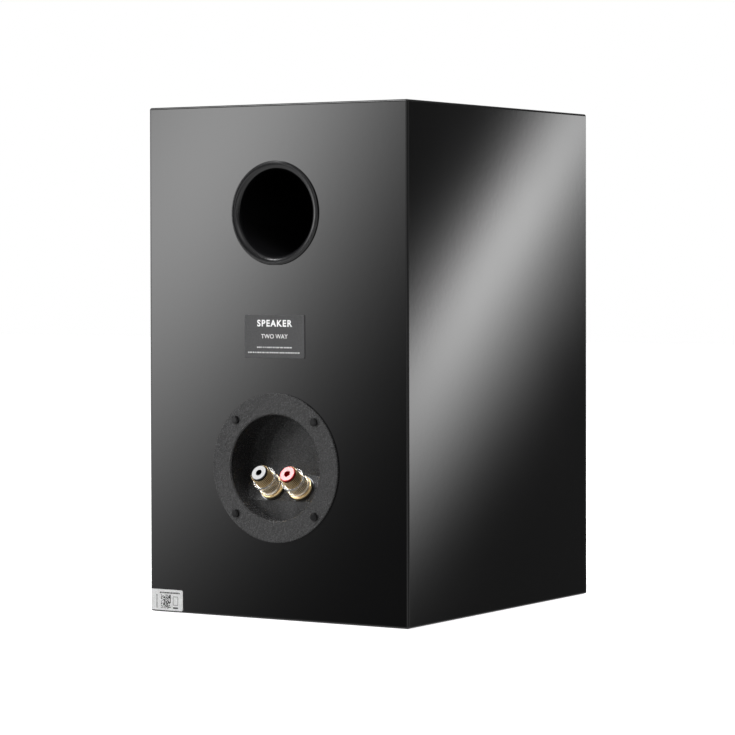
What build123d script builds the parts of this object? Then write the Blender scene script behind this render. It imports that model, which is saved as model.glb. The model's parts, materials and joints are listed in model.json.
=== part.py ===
from build123d import *
import os
from math import cos, pi, radians, sin, tan

# Bookshelf loudspeaker, two-way, rear-ported. Millimetres, +Z up.
# Origin: centre of the cabinet's footprint, on its underside. The drivers face -Y, the terminals +Y.

# ---------------------------------------------------------------- driving dimensions
# Cabinet
WIDTH = 204.0
DEPTH = 245.0
HEIGHT = 340.0
WALL = 16.0
EDGE_RADIUS = 1.5
FRONT = -DEPTH / 2
REAR = DEPTH / 2
BRACE_Z = 201.0
BRACE_THICKNESS = 12.0
BRACE_RAIL = 24.0

# Port
PORT_Z = 268.0
PORT_BORE_RADIUS = 28.5
PORT_WALL = 1.8
PORT_FLARE = 4.5
PORT_FLANGE_RADIUS = 34.2
PORT_FLANGE_SEAT = 2.5
PORT_LIP = 1.5
PORT_LENGTH = 120.0
PORT_INNER_FLARE = 2.3
PORT_HOLE_RADIUS = 31.0

# Labels on the rear and the side
PLATE_SIZE = (47.5, 28.5)
PLATE_CENTRE = (0.5, 186.7)
PLATE_THICKNESS = 0.5
STICKER_START = 75.2
STICKER_WRAP = 9.0
STICKER_Z = (1.1, 15.2)
STICKER_THICKNESS = 0.15

# Terminal cup
CUP_Z = 100.2
CUP_FLANGE_RADIUS = 49.3
CUP_FLANGE = 1.5
CUP_RECESS_RADIUS = 35.0
CUP_WALL = 2.5
CUP_DEPTH = 20.1
CUP_LOWER_DEPTH = 9.2
CUP_LEDGE_TOP = 94.6
CUP_TILT = 33.0
CUP_HOLE_RADIUS = 38.0
CUP_SCREW_OFFSET = 31.0
GASKET_SEAT = 1.0

# Binding posts, measured back from the tip along the tilted axis
POST_SPACING = 22.4
POST_TIP_Y = 125.9
POST_TIP_Z = 97.0
TIP_RADIUS = 5.6
TIP_LENGTH = 1.5
TIP_HOLE_RADIUS = 2.2
TIP_LINER_END = 4.4
BARREL_RADIUS = 6.3
BARREL_RIBS = 36
RIB_GROOVE = 0.32
SLEEVE_RIM_RADIUS = 8.3
SLEEVE_RIM_WALL = 0.8
SLEEVE_WAIST_RADIUS = 7.2
SLEEVE_FLANGE_RADIUS = 8.1
SLEEVE_START = 7.4
SLEEVE_STEP = 9.0
SLEEVE_FLANGE = 15.2
KNOB_END = 16.9
WASHER = (17.2, 17.9)
WASHER_RADIUS = 6.6
COLLAR = (18.5, 20.2)
COLLAR_RADIUS = 8.5
STUD_RADIUS = 4.0
STUD_START = 4.8
STUD_END = 34.0
BANANA_RADIUS = 2.05
BANANA_END = 16.2
WIRE_HOLE_RADIUS = 1.0
NUT_ACROSS_FLATS = 12.0
NUT_THICKNESS = 3.2
TAG_THICKNESS = 0.8
THREAD_CLEARANCE = 0.05

# Woofer
WOOFER_Z = 112.0
WOOFER_RADIUS = 86.0
WOOFER_HOLE_RADIUS = 74.0
WOOFER_SCREW_RADIUS = 81.7
WOOFER_SCREWS = 6
WOOFER_SPOKES = 6
FLANGE = 4.0
WOOFER_GASKET = 1.5
CONE_OUTER_RADIUS = 58.4
CONE_NECK_RADIUS = 16.7
CONE_FRONT = FRONT + 1.7
CONE_BACK = FRONT + 27.0
CONE_THICKNESS = 0.9
CONE_SAG = 3.0
DUST_CAP_RADIUS = 21.0
DUST_CAP_RISE = 7.5
ROLL_CENTRE_RADIUS = 64.3
ROLL_RADIUS = 5.6
ROLL_THICKNESS = 0.9
SPIDER_Y = FRONT + 40.0
SPIDER_WAVES = 4
SPIDER_AMPLITUDE = 1.2
SPIDER_THICKNESS = 0.6
MOTOR_Y = FRONT + 50.5

# Tweeter
TWEETER_Z = 264.0
TWEETER_RADIUS = 52.0
TWEETER_HOLE_RADIUS = 38.0
TWEETER_SCREW_RADIUS = 46.5
TWEETER_SCREWS = 4
TWEETER_GASKET = 1.0
THROAT_RADIUS = 17.5
DOME_RADIUS = 13.9
DOME_RISE = 7.0

# Driver screws, countersunk flush with both faceplates
DRIVER_SCREW_HEAD = 3.7
DRIVER_SCREW_SHANK = 1.9
DRIVER_SCREW_LENGTH = 15.0

# Crossover board on the cabinet floor
BOARD_SIZE = (120.0, 90.0)
BOARD_Y = 30.0
BOARD_LIFT = 8.0
BOARD_THICKNESS = 1.6
BOARD_TOP = WALL + BOARD_LIFT + BOARD_THICKNESS
LEAD_RADIUS = 1.2
TINSEL_RADIUS = 0.5

# ---------------------------------------------------------------- frames of reference
tilt = radians(CUP_TILT)
post_axis = Vector(0, cos(tilt), sin(tilt))
post_tip = {
    "negative": Vector(POST_SPACING / 2, POST_TIP_Y, POST_TIP_Z),
    "positive": Vector(-POST_SPACING / 2, POST_TIP_Y, POST_TIP_Z),
}
signs = {"negative": 1, "positive": -1}
BACKWARD = (0, 1, 0)


def rear_plane(y, z, x=0.0):
    """A plane facing backwards (+Y), as seen from behind: its X points to -X."""
    return Plane(origin=(x, y, z), x_dir=(-1, 0, 0), z_dir=(0, 1, 0))


def front_plane(y, z, x=0.0):
    """A plane facing forwards (-Y), as seen from the front."""
    return Plane(origin=(x, y, z), x_dir=(1, 0, 0), z_dir=(0, -1, 0))


def turning_plane(z):
    """Level plane at height z: X is the radius and Y the depth of a part turned about a driver's axis."""
    return Plane.XY.offset(z)


def turning_axis(z):
    return Axis((0, 0, z), BACKWARD)


def post_plane(side, distance):
    """Plane square to a binding post, a distance behind its tip."""
    return Plane(origin=post_tip[side] - post_axis * distance, x_dir=(-1, 0, 0), z_dir=post_axis)


def cone_depth(radius):
    """Depth (Y) of the woofer cone's front surface at a radius: a shallow flare from the rim to the neck."""
    share = (CONE_OUTER_RADIUS - radius) / (CONE_OUTER_RADIUS - CONE_NECK_RADIUS)
    return CONE_FRONT + share * (CONE_BACK - CONE_FRONT) - 4 * CONE_SAG * share * (1 - share)


def finish(piece, name):
    """Label a finished sub-part and write its STEP file."""
    piece.part.label = name
    export_step(piece.part, f"parts/{name}.step")


os.makedirs("parts", exist_ok=True)

# ---------------------------------------------------------------- cabinet boards
with BuildPart() as envelope:
    Box(WIDTH, DEPTH, HEIGHT, align=(Align.CENTER, Align.CENTER, Align.MIN))
    fillet(envelope.edges(), EDGE_RADIUS)


def board(inward_plane, length, height):
    """A wall board, mitred at 45 degrees on all four edges, its outer face in the plane."""
    with BuildPart() as blank:
        with BuildSketch(inward_plane):
            Rectangle(length, height)
        with BuildSketch(inward_plane.offset(WALL)):
            Rectangle(length - 2 * WALL, height - 2 * WALL)
        loft(ruled=True)
        add(envelope.part, mode=Mode.INTERSECT)
    return blank.part


middle = HEIGHT / 2
with BuildPart() as top_panel:
    add(board(Plane(origin=(0, 0, HEIGHT), x_dir=(1, 0, 0), z_dir=(0, 0, -1)), WIDTH, DEPTH))
finish(top_panel, "top_panel")

with BuildPart() as bottom_panel:
    add(board(Plane(origin=(0, 0, 0), x_dir=(1, 0, 0), z_dir=(0, 0, 1)), WIDTH, DEPTH))
finish(bottom_panel, "bottom_panel")

with BuildPart() as right_side_panel:
    add(board(Plane(origin=(WIDTH / 2, 0, middle), x_dir=(0, 1, 0), z_dir=(-1, 0, 0)), DEPTH, HEIGHT))
finish(right_side_panel, "right_side_panel")

with BuildPart() as left_side_panel:
    add(board(Plane(origin=(-WIDTH / 2, 0, middle), x_dir=(0, 1, 0), z_dir=(1, 0, 0)), DEPTH, HEIGHT))
finish(left_side_panel, "left_side_panel")

with BuildPart() as front_baffle:
    add(board(Plane(origin=(0, FRONT, middle), x_dir=(1, 0, 0), z_dir=(0, 1, 0)), WIDTH, HEIGHT))
    woofer_hole = (WOOFER_Z, WOOFER_RADIUS, WOOFER_GASKET, WOOFER_HOLE_RADIUS, WOOFER_SCREW_RADIUS)
    tweeter_hole = (TWEETER_Z, TWEETER_RADIUS, TWEETER_GASKET, TWEETER_HOLE_RADIUS, TWEETER_SCREW_RADIUS)
    for (z, rebate, gasket, hole, bolts), count in (
        (woofer_hole, WOOFER_SCREWS),
        (tweeter_hole, TWEETER_SCREWS),
    ):
        with BuildSketch(front_plane(FRONT, z)):
            Circle(rebate + 0.4)
        extrude(amount=-FLANGE - gasket, mode=Mode.SUBTRACT)
        with BuildSketch(front_plane(FRONT, z)):
            Circle(hole)
            with PolarLocations(bolts, count, start_angle=180 / count):
                Circle(DRIVER_SCREW_SHANK + 0.1)
        extrude(amount=-WALL, mode=Mode.SUBTRACT)
finish(front_baffle, "front_baffle")

with BuildPart() as rear_panel:
    add(board(Plane(origin=(0, REAR, middle), x_dir=(1, 0, 0), z_dir=(0, -1, 0)), WIDTH, HEIGHT))
    with BuildSketch(rear_plane(REAR, PORT_Z)):
        Circle(PORT_FLANGE_RADIUS + 0.3)
    extrude(amount=-PORT_FLANGE_SEAT, mode=Mode.SUBTRACT)
    with BuildSketch(rear_plane(REAR, PORT_Z)):
        Circle(PORT_HOLE_RADIUS)
    extrude(amount=-WALL, mode=Mode.SUBTRACT)
    with BuildSketch(rear_plane(REAR, CUP_Z)):
        Circle(CUP_FLANGE_RADIUS - 2.5)
    extrude(amount=-GASKET_SEAT, mode=Mode.SUBTRACT)
    with BuildSketch(rear_plane(REAR, CUP_Z)):
        Circle(CUP_HOLE_RADIUS)
        with GridLocations(2 * CUP_SCREW_OFFSET, 2 * CUP_SCREW_OFFSET, 2, 2):
            Circle(1.5)
    extrude(amount=-WALL, mode=Mode.SUBTRACT)
finish(rear_panel, "rear_panel")

with BuildPart() as cabinet_brace:
    with BuildSketch(Plane.XY.offset(BRACE_Z)):
        Rectangle(WIDTH - 2 * WALL, DEPTH - 2 * WALL)
        window = (WIDTH - 2 * WALL - 2 * BRACE_RAIL, DEPTH - 2 * WALL - 2 * BRACE_RAIL)
        RectangleRounded(*window, 20, mode=Mode.SUBTRACT)
    extrude(amount=BRACE_THICKNESS)
finish(cabinet_brace, "cabinet_brace")

# ---------------------------------------------------------------- acoustic wadding, a pad on each side wall
PAD_THICKNESS = 22.0
PAD_WALL_GAP = 0.5


def wadding_pads(pads, y_range, z_range):
    """Two soft pads with rounded edges, one against each side wall."""
    offset = WIDTH / 2 - WALL - PAD_WALL_GAP - PAD_THICKNESS / 2
    y_middle = sum(y_range) / 2
    z_middle = sum(z_range) / 2
    with Locations((offset, y_middle, z_middle), (-offset, y_middle, z_middle)):
        Box(PAD_THICKNESS, y_range[1] - y_range[0], z_range[1] - z_range[0])
    fillet(pads.edges(), PAD_THICKNESS / 3)


with BuildPart() as wadding_upper:
    wadding_pads(wadding_upper, (-85.0, 98.0), (218.0, 320.0))
finish(wadding_upper, "wadding_upper")

with BuildPart() as wadding_lower:
    wadding_pads(wadding_lower, (-60.0, 96.0), (70.0, 196.0))
finish(wadding_lower, "wadding_lower")

# ---------------------------------------------------------------- reflex port, flared at both ends
port_mouth = REAR + PORT_LIP
port_end = port_mouth - PORT_LENGTH
port_seat = REAR - PORT_FLANGE_SEAT
flare_edge = PORT_BORE_RADIUS + PORT_INNER_FLARE
with BuildPart() as port_tube:
    with BuildSketch(turning_plane(PORT_Z)):
        with BuildLine():
            bore = Line(
                (PORT_BORE_RADIUS, port_mouth - PORT_FLARE),
                (PORT_BORE_RADIUS, port_end + PORT_INNER_FLARE),
            )
            RadiusArc(bore @ 1, (flare_edge, port_end), PORT_INNER_FLARE)
            Line((flare_edge, port_end), (flare_edge, port_end + PORT_WALL))
            RadiusArc(
                (flare_edge, port_end + PORT_WALL),
                (PORT_BORE_RADIUS + PORT_WALL, port_end + PORT_INNER_FLARE),
                -(PORT_INNER_FLARE - PORT_WALL),
            )
            Polyline(
                (PORT_BORE_RADIUS + PORT_WALL, port_end + PORT_INNER_FLARE),
                (PORT_BORE_RADIUS + PORT_WALL, port_seat),
                (PORT_FLANGE_RADIUS, port_seat),
                (PORT_FLANGE_RADIUS, port_mouth - 0.8),
            )
            RadiusArc(
                (PORT_FLANGE_RADIUS, port_mouth - 0.8),
                (PORT_BORE_RADIUS + PORT_FLARE, port_mouth),
                -(PORT_FLANGE_RADIUS - PORT_BORE_RADIUS - PORT_FLARE),
            )
            RadiusArc((PORT_BORE_RADIUS + PORT_FLARE, port_mouth), bore @ 0, -PORT_FLARE)
        make_face()
    revolve(axis=turning_axis(PORT_Z))
finish(port_tube, "port_tube")

# ---------------------------------------------------------------- labels
with BuildPart() as rating_plate:
    with BuildSketch(rear_plane(REAR, PLATE_CENTRE[1], PLATE_CENTRE[0])):
        RectangleRounded(*PLATE_SIZE, 1.0)
    extrude(amount=PLATE_THICKNESS)
    chamfer(rating_plate.faces().sort_by(Axis.Y)[-1].edges(), 0.2)
finish(rating_plate, "rating_plate")

# The sticker is folded round the cabinet's rear right edge.
side = WIDTH / 2
with BuildPart() as serial_sticker:
    with BuildSketch(Plane.XY.offset(STICKER_Z[0])):
        with BuildLine():
            corner = (side - EDGE_RADIUS, REAR - EDGE_RADIUS)
            outer_bend = CenterArc(corner, EDGE_RADIUS + STICKER_THICKNESS, 0, 90)
            inner_bend = CenterArc(corner, EDGE_RADIUS, 0, 90)
            Polyline(
                outer_bend @ 0,
                (side + STICKER_THICKNESS, REAR - STICKER_WRAP),
                (side, REAR - STICKER_WRAP),
                inner_bend @ 0,
            )
            Polyline(
                outer_bend @ 1,
                (STICKER_START, REAR + STICKER_THICKNESS),
                (STICKER_START, REAR),
                inner_bend @ 1,
            )
        make_face()
    extrude(amount=STICKER_Z[1] - STICKER_Z[0])
    short_edges = serial_sticker.edges().filter_by(lambda e: abs(e.length - STICKER_THICKNESS) < 0.01)
    fillet(short_edges, 1.3)
finish(serial_sticker, "serial_sticker")

# ---------------------------------------------------------------- terminal cup with its sloping ledge
cup_face_y = REAR + CUP_FLANGE
cup_back_y = REAR - CUP_DEPTH
cup_lower_y = REAR - CUP_LOWER_DEPTH
ledge_level = cup_back_y * cos(tilt) + CUP_LEDGE_TOP * sin(tilt)
far = CUP_FLANGE_RADIUS * 2


def ledge_z(y, level):
    """Height at which a plane parallel to the ledge, at this level along its normal, reaches a depth y."""
    return (level - y * cos(tilt)) / sin(tilt)


def cup_room(back, lower, level, front):
    """Outline (Y, Z) of everything behind the cup's stepped floor and in front of the depth given."""
    return (
        (front, CUP_Z - far),
        (front, CUP_Z + far),
        (back, CUP_Z + far),
        (back, ledge_z(back, level)),
        (lower, ledge_z(lower, level)),
        (lower, CUP_Z - far),
    )


def stepped_drum(radius, outline):
    """A drum of this radius on the cup's axis, kept only inside the (Y, Z) outline."""
    with BuildPart() as drum:
        with BuildSketch(rear_plane(cup_back_y - 3 * CUP_WALL, CUP_Z)):
            Circle(radius)
        extrude(amount=CUP_DEPTH + 4 * CUP_WALL)
        with BuildSketch(Plane.YZ.offset(-far)):
            with BuildLine():
                Polyline(*outline, close=True)
            make_face()
        extrude(amount=2 * far, mode=Mode.INTERSECT)
    return drum.part


with BuildPart() as terminal_cup:
    with BuildSketch(rear_plane(REAR, CUP_Z)):
        Circle(CUP_FLANGE_RADIUS)
    extrude(amount=CUP_FLANGE)
    chamfer(terminal_cup.faces().sort_by(Axis.Y)[-1].edges(), 0.5)
    add(
        stepped_drum(
            CUP_RECESS_RADIUS + CUP_WALL,
            cup_room(cup_back_y - CUP_WALL, cup_lower_y - CUP_WALL, ledge_level - CUP_WALL, REAR),
        )
    )
    add(
        stepped_drum(CUP_RECESS_RADIUS, cup_room(cup_back_y, cup_lower_y, ledge_level, cup_face_y + 5)),
        mode=Mode.SUBTRACT,
    )
    with BuildSketch(rear_plane(cup_face_y, CUP_Z)):
        with GridLocations(2 * CUP_SCREW_OFFSET, 2 * CUP_SCREW_OFFSET, 2, 2):
            Circle(1.8)
    extrude(amount=-CUP_FLANGE, mode=Mode.SUBTRACT)
    for plane in (post_plane("negative", 0), post_plane("positive", 0)):
        with BuildSketch(plane):
            Circle(STUD_RADIUS + 1.5)
        extrude(amount=-STUD_END, mode=Mode.SUBTRACT)
    mouth = terminal_cup.edges().filter_by(GeomType.CIRCLE).filter_by(
        lambda e: abs(e.radius - CUP_RECESS_RADIUS) < 0.01 and e.center().Y > REAR
    )
    chamfer(mouth, 0.8)
    # Polarity marks moulded into the lower floor: minus on the negative side, plus on the positive.
    with BuildSketch(rear_plane(cup_lower_y, CUP_Z - 28.5)):
        with Locations((-POST_SPACING / 2, 0)):
            Rectangle(3.4, 0.7)
        with Locations((POST_SPACING / 2, 0)):
            Rectangle(3.4, 0.7)
            Rectangle(0.7, 3.4)
    extrude(amount=0.35)
finish(terminal_cup, "terminal_cup")

with BuildPart() as cup_gasket:
    with BuildSketch(rear_plane(REAR, CUP_Z)):
        Circle(CUP_FLANGE_RADIUS - 2.8)
        Circle(CUP_HOLE_RADIUS + 0.3, mode=Mode.SUBTRACT)
        with GridLocations(2 * CUP_SCREW_OFFSET, 2 * CUP_SCREW_OFFSET, 2, 2):
            Circle(1.8, mode=Mode.SUBTRACT)
    extrude(amount=-GASKET_SEAT)
finish(cup_gasket, "cup_gasket")

# Four pan-head cross-recessed screws, each turned to its own angle.
PAN_HEAD_RADIUS = 2.7
PAN_HEAD_HEIGHT = 1.7
screw_turns = (12, 57, 33, 80)
with BuildPart() as cup_screws:
    with BuildSketch(rear_plane(cup_face_y, CUP_Z)):
        with GridLocations(2 * CUP_SCREW_OFFSET, 2 * CUP_SCREW_OFFSET, 2, 2):
            Circle(PAN_HEAD_RADIUS)
    extrude(amount=PAN_HEAD_HEIGHT)
    fillet(cup_screws.edges().group_by(Axis.Y)[-1], 1.0)
    with BuildSketch(rear_plane(cup_face_y, CUP_Z)):
        with GridLocations(2 * CUP_SCREW_OFFSET, 2 * CUP_SCREW_OFFSET, 2, 2):
            Circle(1.4)
    extrude(amount=-WALL)
    with BuildSketch(rear_plane(cup_face_y + PAN_HEAD_HEIGHT, CUP_Z)):
        spots = GridLocations(2 * CUP_SCREW_OFFSET, 2 * CUP_SCREW_OFFSET, 2, 2)
        for spot, turn in zip(spots, screw_turns):
            with Locations(spot):
                Rectangle(2.9, 0.7, rotation=turn)
                Rectangle(0.7, 2.9, rotation=turn)
    extrude(amount=-1.2, mode=Mode.SUBTRACT)
finish(cup_screws, "cup_screws")

# ---------------------------------------------------------------- binding posts
ledge_distance = post_tip["negative"].dot(post_axis) - ledge_level


def ring(plane, outer, inner, length):
    """Add a plain ring behind the plane, to the sub-part being built."""
    with BuildPart(mode=Mode.PRIVATE) as collar:
        with BuildSketch(plane):
            Circle(outer)
            Circle(inner, mode=Mode.SUBTRACT)
        extrude(amount=-length)
    return collar.part


def ribbed_ring(plane, inner, length):
    """A length of the knob's barrel, with lengthwise grooves on its outside."""
    with BuildPart(mode=Mode.PRIVATE) as grip:
        with BuildSketch(plane):
            Circle(BARREL_RADIUS)
            with PolarLocations(BARREL_RADIUS, BARREL_RIBS):
                Circle(RIB_GROOVE, mode=Mode.SUBTRACT)
            Circle(inner, mode=Mode.SUBTRACT)
        extrude(amount=-length)
    return grip.part


thread_bore = STUD_RADIUS + THREAD_CLEARANCE
for pole in ("negative", "positive"):
    with BuildPart() as post_stud:
        add(ring(post_plane(pole, STUD_START), STUD_RADIUS, BANANA_RADIUS, BANANA_END - STUD_START))
        with BuildSketch(post_plane(pole, BANANA_END)):
            Circle(STUD_RADIUS)
        extrude(amount=-(STUD_END - BANANA_END))
        with BuildSketch(post_plane(pole, COLLAR[0])):
            Circle(COLLAR_RADIUS)
        extrude(amount=-(COLLAR[1] - COLLAR[0]))
        chamfer(post_stud.edges().filter_by(lambda e: e.geom_type == GeomType.CIRCLE and e.radius > 8), 0.3)
        # Cross hole for bare wire, under the clamp washer.
        cross = post_tip[pole] - post_axis * (BANANA_END + WIRE_HOLE_RADIUS + 0.4)
        with Locations(Plane(origin=cross, x_dir=(0, 1, 0), z_dir=(1, 0, 0))):
            Cylinder(WIRE_HOLE_RADIUS, 2 * COLLAR_RADIUS, mode=Mode.SUBTRACT)
    finish(post_stud, f"post_stud_{pole}")

    with BuildPart() as clamp_washer:
        add(ring(post_plane(pole, WASHER[0]), WASHER_RADIUS, thread_bore, WASHER[1] - WASHER[0]))
    finish(clamp_washer, f"clamp_washer_{pole}")

    # Gold-plated knob: one ribbed barrel, bored for the tip's liner in front and for the stud behind.
    with BuildPart() as knob_insert:
        for start, end, bore_radius in (
            (TIP_LENGTH, TIP_LINER_END, TIP_HOLE_RADIUS + 0.9),
            (TIP_LINER_END, KNOB_END, thread_bore),
        ):
            add(ribbed_ring(post_plane(pole, start), bore_radius, end - start))
    finish(knob_insert, f"knob_insert_{pole}")

    # Coloured tip ring with the liner that guides the plug.
    with BuildPart() as knob_tip:
        with BuildSketch(post_plane(pole, 0)):
            Circle(TIP_RADIUS)
        extrude(amount=-TIP_LENGTH)
        fillet(knob_tip.edges().sort_by(Axis(post_tip[pole], post_axis))[-1], 0.5)
        with BuildSketch(post_plane(pole, TIP_LENGTH)):
            Circle(TIP_HOLE_RADIUS + 0.85)
        extrude(amount=-(TIP_LINER_END - TIP_LENGTH - 0.1))
        with BuildSketch(post_plane(pole, 0)):
            Circle(TIP_HOLE_RADIUS)
        extrude(amount=-TIP_LINER_END, mode=Mode.SUBTRACT)
    finish(knob_tip, f"knob_tip_{pole}")

    # Clear sleeve: a thin rim that stands free of the barrel, a close waist and a lower flange.
    sleeve_bore = BARREL_RADIUS + 0.05
    with BuildPart() as knob_sleeve:
        for start, end, outer, inner in (
            (SLEEVE_START, SLEEVE_STEP, SLEEVE_RIM_RADIUS, SLEEVE_RIM_RADIUS - SLEEVE_RIM_WALL),
            (SLEEVE_STEP, SLEEVE_STEP + SLEEVE_RIM_WALL, SLEEVE_RIM_RADIUS, sleeve_bore),
            (SLEEVE_STEP + SLEEVE_RIM_WALL, SLEEVE_FLANGE, SLEEVE_WAIST_RADIUS, sleeve_bore),
            (SLEEVE_FLANGE, KNOB_END, SLEEVE_FLANGE_RADIUS, sleeve_bore),
        ):
            add(ring(post_plane(pole, start), outer, inner, end - start))
        rounds = knob_sleeve.edges().filter_by(GeomType.CIRCLE)
        fillet(rounds.filter_by(lambda e: e.radius > SLEEVE_FLANGE_RADIUS - 0.01), 0.3)
    finish(knob_sleeve, f"knob_sleeve_{pole}")

with BuildPart() as post_bushings:
    for pole in ("negative", "positive"):
        seat = ledge_distance - COLLAR[1]
        add(ring(post_plane(pole, COLLAR[1]), COLLAR_RADIUS + 0.7, thread_bore, seat))
        add(ring(post_plane(pole, ledge_distance), STUD_RADIUS + 1.4, thread_bore, CUP_WALL - 0.1))
finish(post_bushings, "post_bushings")

# Behind the ledge: a nut, the solder tag and a lock nut on each stud.
first_nut = ledge_distance + CUP_WALL
tag_seat = first_nut + NUT_THICKNESS
second_nut = tag_seat + TAG_THICKNESS
with BuildPart() as post_nuts:
    for pole in ("negative", "positive"):
        for distance in (first_nut, second_nut):
            with BuildSketch(post_plane(pole, distance)):
                RegularPolygon(NUT_ACROSS_FLATS / 2, 6, major_radius=False)
                Circle(thread_bore, mode=Mode.SUBTRACT)
            extrude(amount=-NUT_THICKNESS)
finish(post_nuts, "post_nuts")

TAG_REACH = 15.0
with BuildPart() as post_tags:
    for pole in ("negative", "positive"):
        with BuildSketch(post_plane(pole, tag_seat)):
            Circle(NUT_ACROSS_FLATS / 2)
            with Locations((-signs[pole] * TAG_REACH / 2, 0)):
                Rectangle(TAG_REACH, 5)
            Circle(thread_bore, mode=Mode.SUBTRACT)
        extrude(amount=-TAG_THICKNESS)
finish(post_tags, "post_tags")

# ---------------------------------------------------------------- woofer
flange_back = FRONT + FLANGE
ledge_step = FRONT + 1.6
with BuildPart() as woofer_basket:
    with BuildSketch(turning_plane(WOOFER_Z)):
        with BuildLine():
            Polyline(
                (WOOFER_RADIUS, FRONT + 0.8),
                (WOOFER_RADIUS, flange_back),
                (73.0, flange_back),
                (73.0, FRONT + 12.5),
                (50.0, MOTOR_Y - 12.0),
                (50.0, MOTOR_Y),
                (20.0, MOTOR_Y),
                (20.0, MOTOR_Y - 3.0),
                (41.0, MOTOR_Y - 3.0),
                (41.0, SPIDER_Y + SPIDER_THICKNESS),
                (47.0, SPIDER_Y + SPIDER_THICKNESS),
                (47.0, SPIDER_Y - 2.0),
                (70.5, FRONT + 13.0),
                (70.5, FRONT + 5.0),
                (68.5, flange_back - 0.5),
                (68.5, ledge_step),
                (77.6, ledge_step),
                (77.6, FRONT),
                (WOOFER_RADIUS - 0.8, FRONT),
                close=True,
            )
        make_face()
    revolve(axis=turning_axis(WOOFER_Z))
    # Windows between the spokes of the basket.
    with BuildSketch(front_plane(FRONT + 14.0, WOOFER_Z)):
        Circle(69.0)
        Circle(52.0, mode=Mode.SUBTRACT)
        with PolarLocations(60.0, WOOFER_SPOKES, start_angle=90):
            Rectangle(24, 14, mode=Mode.SUBTRACT)
    extrude(amount=-(MOTOR_Y - FRONT - 15.0), mode=Mode.SUBTRACT)
    with Locations(front_plane(FRONT, WOOFER_Z)):
        with PolarLocations(WOOFER_SCREW_RADIUS, WOOFER_SCREWS, start_angle=180 / WOOFER_SCREWS):
            CounterSinkHole(DRIVER_SCREW_SHANK + 0.2, DRIVER_SCREW_HEAD + 0.1, depth=FLANGE + 1)
finish(woofer_basket, "woofer_basket")

with BuildPart() as woofer_gasket:
    with BuildSketch(front_plane(flange_back, WOOFER_Z)):
        Circle(WOOFER_RADIUS - 0.5)
        Circle(WOOFER_HOLE_RADIUS + 0.5, mode=Mode.SUBTRACT)
        with PolarLocations(WOOFER_SCREW_RADIUS, WOOFER_SCREWS, start_angle=180 / WOOFER_SCREWS):
            Circle(DRIVER_SCREW_SHANK + 0.3, mode=Mode.SUBTRACT)
    extrude(amount=-WOOFER_GASKET)
finish(woofer_gasket, "woofer_gasket")

TOP_PLATE = 6.0
MAGNET = 17.0
BACK_PLATE = 6.0
COIL_RADIUS = 16.1
with BuildPart() as woofer_top_plate:
    add(ring(front_plane(MOTOR_Y, WOOFER_Z), 44.0, 18.0, TOP_PLATE))
finish(woofer_top_plate, "woofer_top_plate")

with BuildPart() as woofer_magnet:
    add(ring(front_plane(MOTOR_Y + TOP_PLATE, WOOFER_Z), 46.0, 24.0, MAGNET))
    chamfer(woofer_magnet.edges().filter_by(GeomType.CIRCLE), 0.8)
finish(woofer_magnet, "woofer_magnet")

yoke_y = MOTOR_Y + TOP_PLATE + MAGNET
with BuildPart() as woofer_yoke:
    add(ring(front_plane(yoke_y, WOOFER_Z), 44.0, 5.0, BACK_PLATE))
    add(ring(front_plane(MOTOR_Y, WOOFER_Z), COIL_RADIUS - 0.6, 5.0, TOP_PLATE + MAGNET))
    chamfer(woofer_yoke.edges().filter_by(lambda e: e.geom_type == GeomType.CIRCLE and e.radius > 40), 1.2)
finish(woofer_yoke, "woofer_yoke")

former_front = cone_depth(CONE_NECK_RADIUS) + CONE_THICKNESS
former_length = MOTOR_Y + 11.0 - former_front
with BuildPart() as woofer_coil_former:
    add(ring(front_plane(former_front, WOOFER_Z), COIL_RADIUS + 0.3, COIL_RADIUS, former_length))
finish(woofer_coil_former, "woofer_coil_former")

with BuildPart() as woofer_winding:
    add(ring(front_plane(MOTOR_Y - 4.0, WOOFER_Z), COIL_RADIUS + 1.3, COIL_RADIUS + 0.3, 14.0))
finish(woofer_winding, "woofer_winding")

cone_steps = 8
cone_step = (CONE_OUTER_RADIUS - CONE_NECK_RADIUS) / cone_steps
cone_radii = [CONE_NECK_RADIUS + cone_step * step for step in range(cone_steps + 1)]
with BuildPart() as woofer_cone:
    with BuildSketch(turning_plane(WOOFER_Z)):
        with BuildLine():
            face = Spline(*[(radius, cone_depth(radius)) for radius in cone_radii])
            back = Spline(*[(radius, cone_depth(radius) + CONE_THICKNESS) for radius in cone_radii])
            Line(face @ 0, back @ 0)
            Line(face @ 1, back @ 1)
        make_face()
    revolve(axis=turning_axis(WOOFER_Z))
finish(woofer_cone, "woofer_cone")

cap_seat = cone_depth(DUST_CAP_RADIUS) - 0.15
cap_inner = DUST_CAP_RADIUS - 1.0
with BuildPart() as woofer_dust_cap:
    with BuildSketch(turning_plane(WOOFER_Z)):
        with BuildLine():
            crown = (0, cap_seat - DUST_CAP_RISE)
            outer = ThreePointArc(
                (-DUST_CAP_RADIUS, cap_seat), crown, (DUST_CAP_RADIUS, cap_seat), mode=Mode.PRIVATE
            )
            hollow = (0, cap_seat - DUST_CAP_RISE + 0.8)
            inner = ThreePointArc((-cap_inner, cap_seat), hollow, (cap_inner, cap_seat), mode=Mode.PRIVATE)
            add(outer.trim(0.5, 1))
            add(inner.trim(0.5, 1))
            Line(outer @ 0.5, inner @ 0.5)
            Line(outer @ 1, inner @ 1)
        make_face()
    revolve(axis=turning_axis(WOOFER_Z))
finish(woofer_dust_cap, "woofer_dust_cap")


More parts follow.
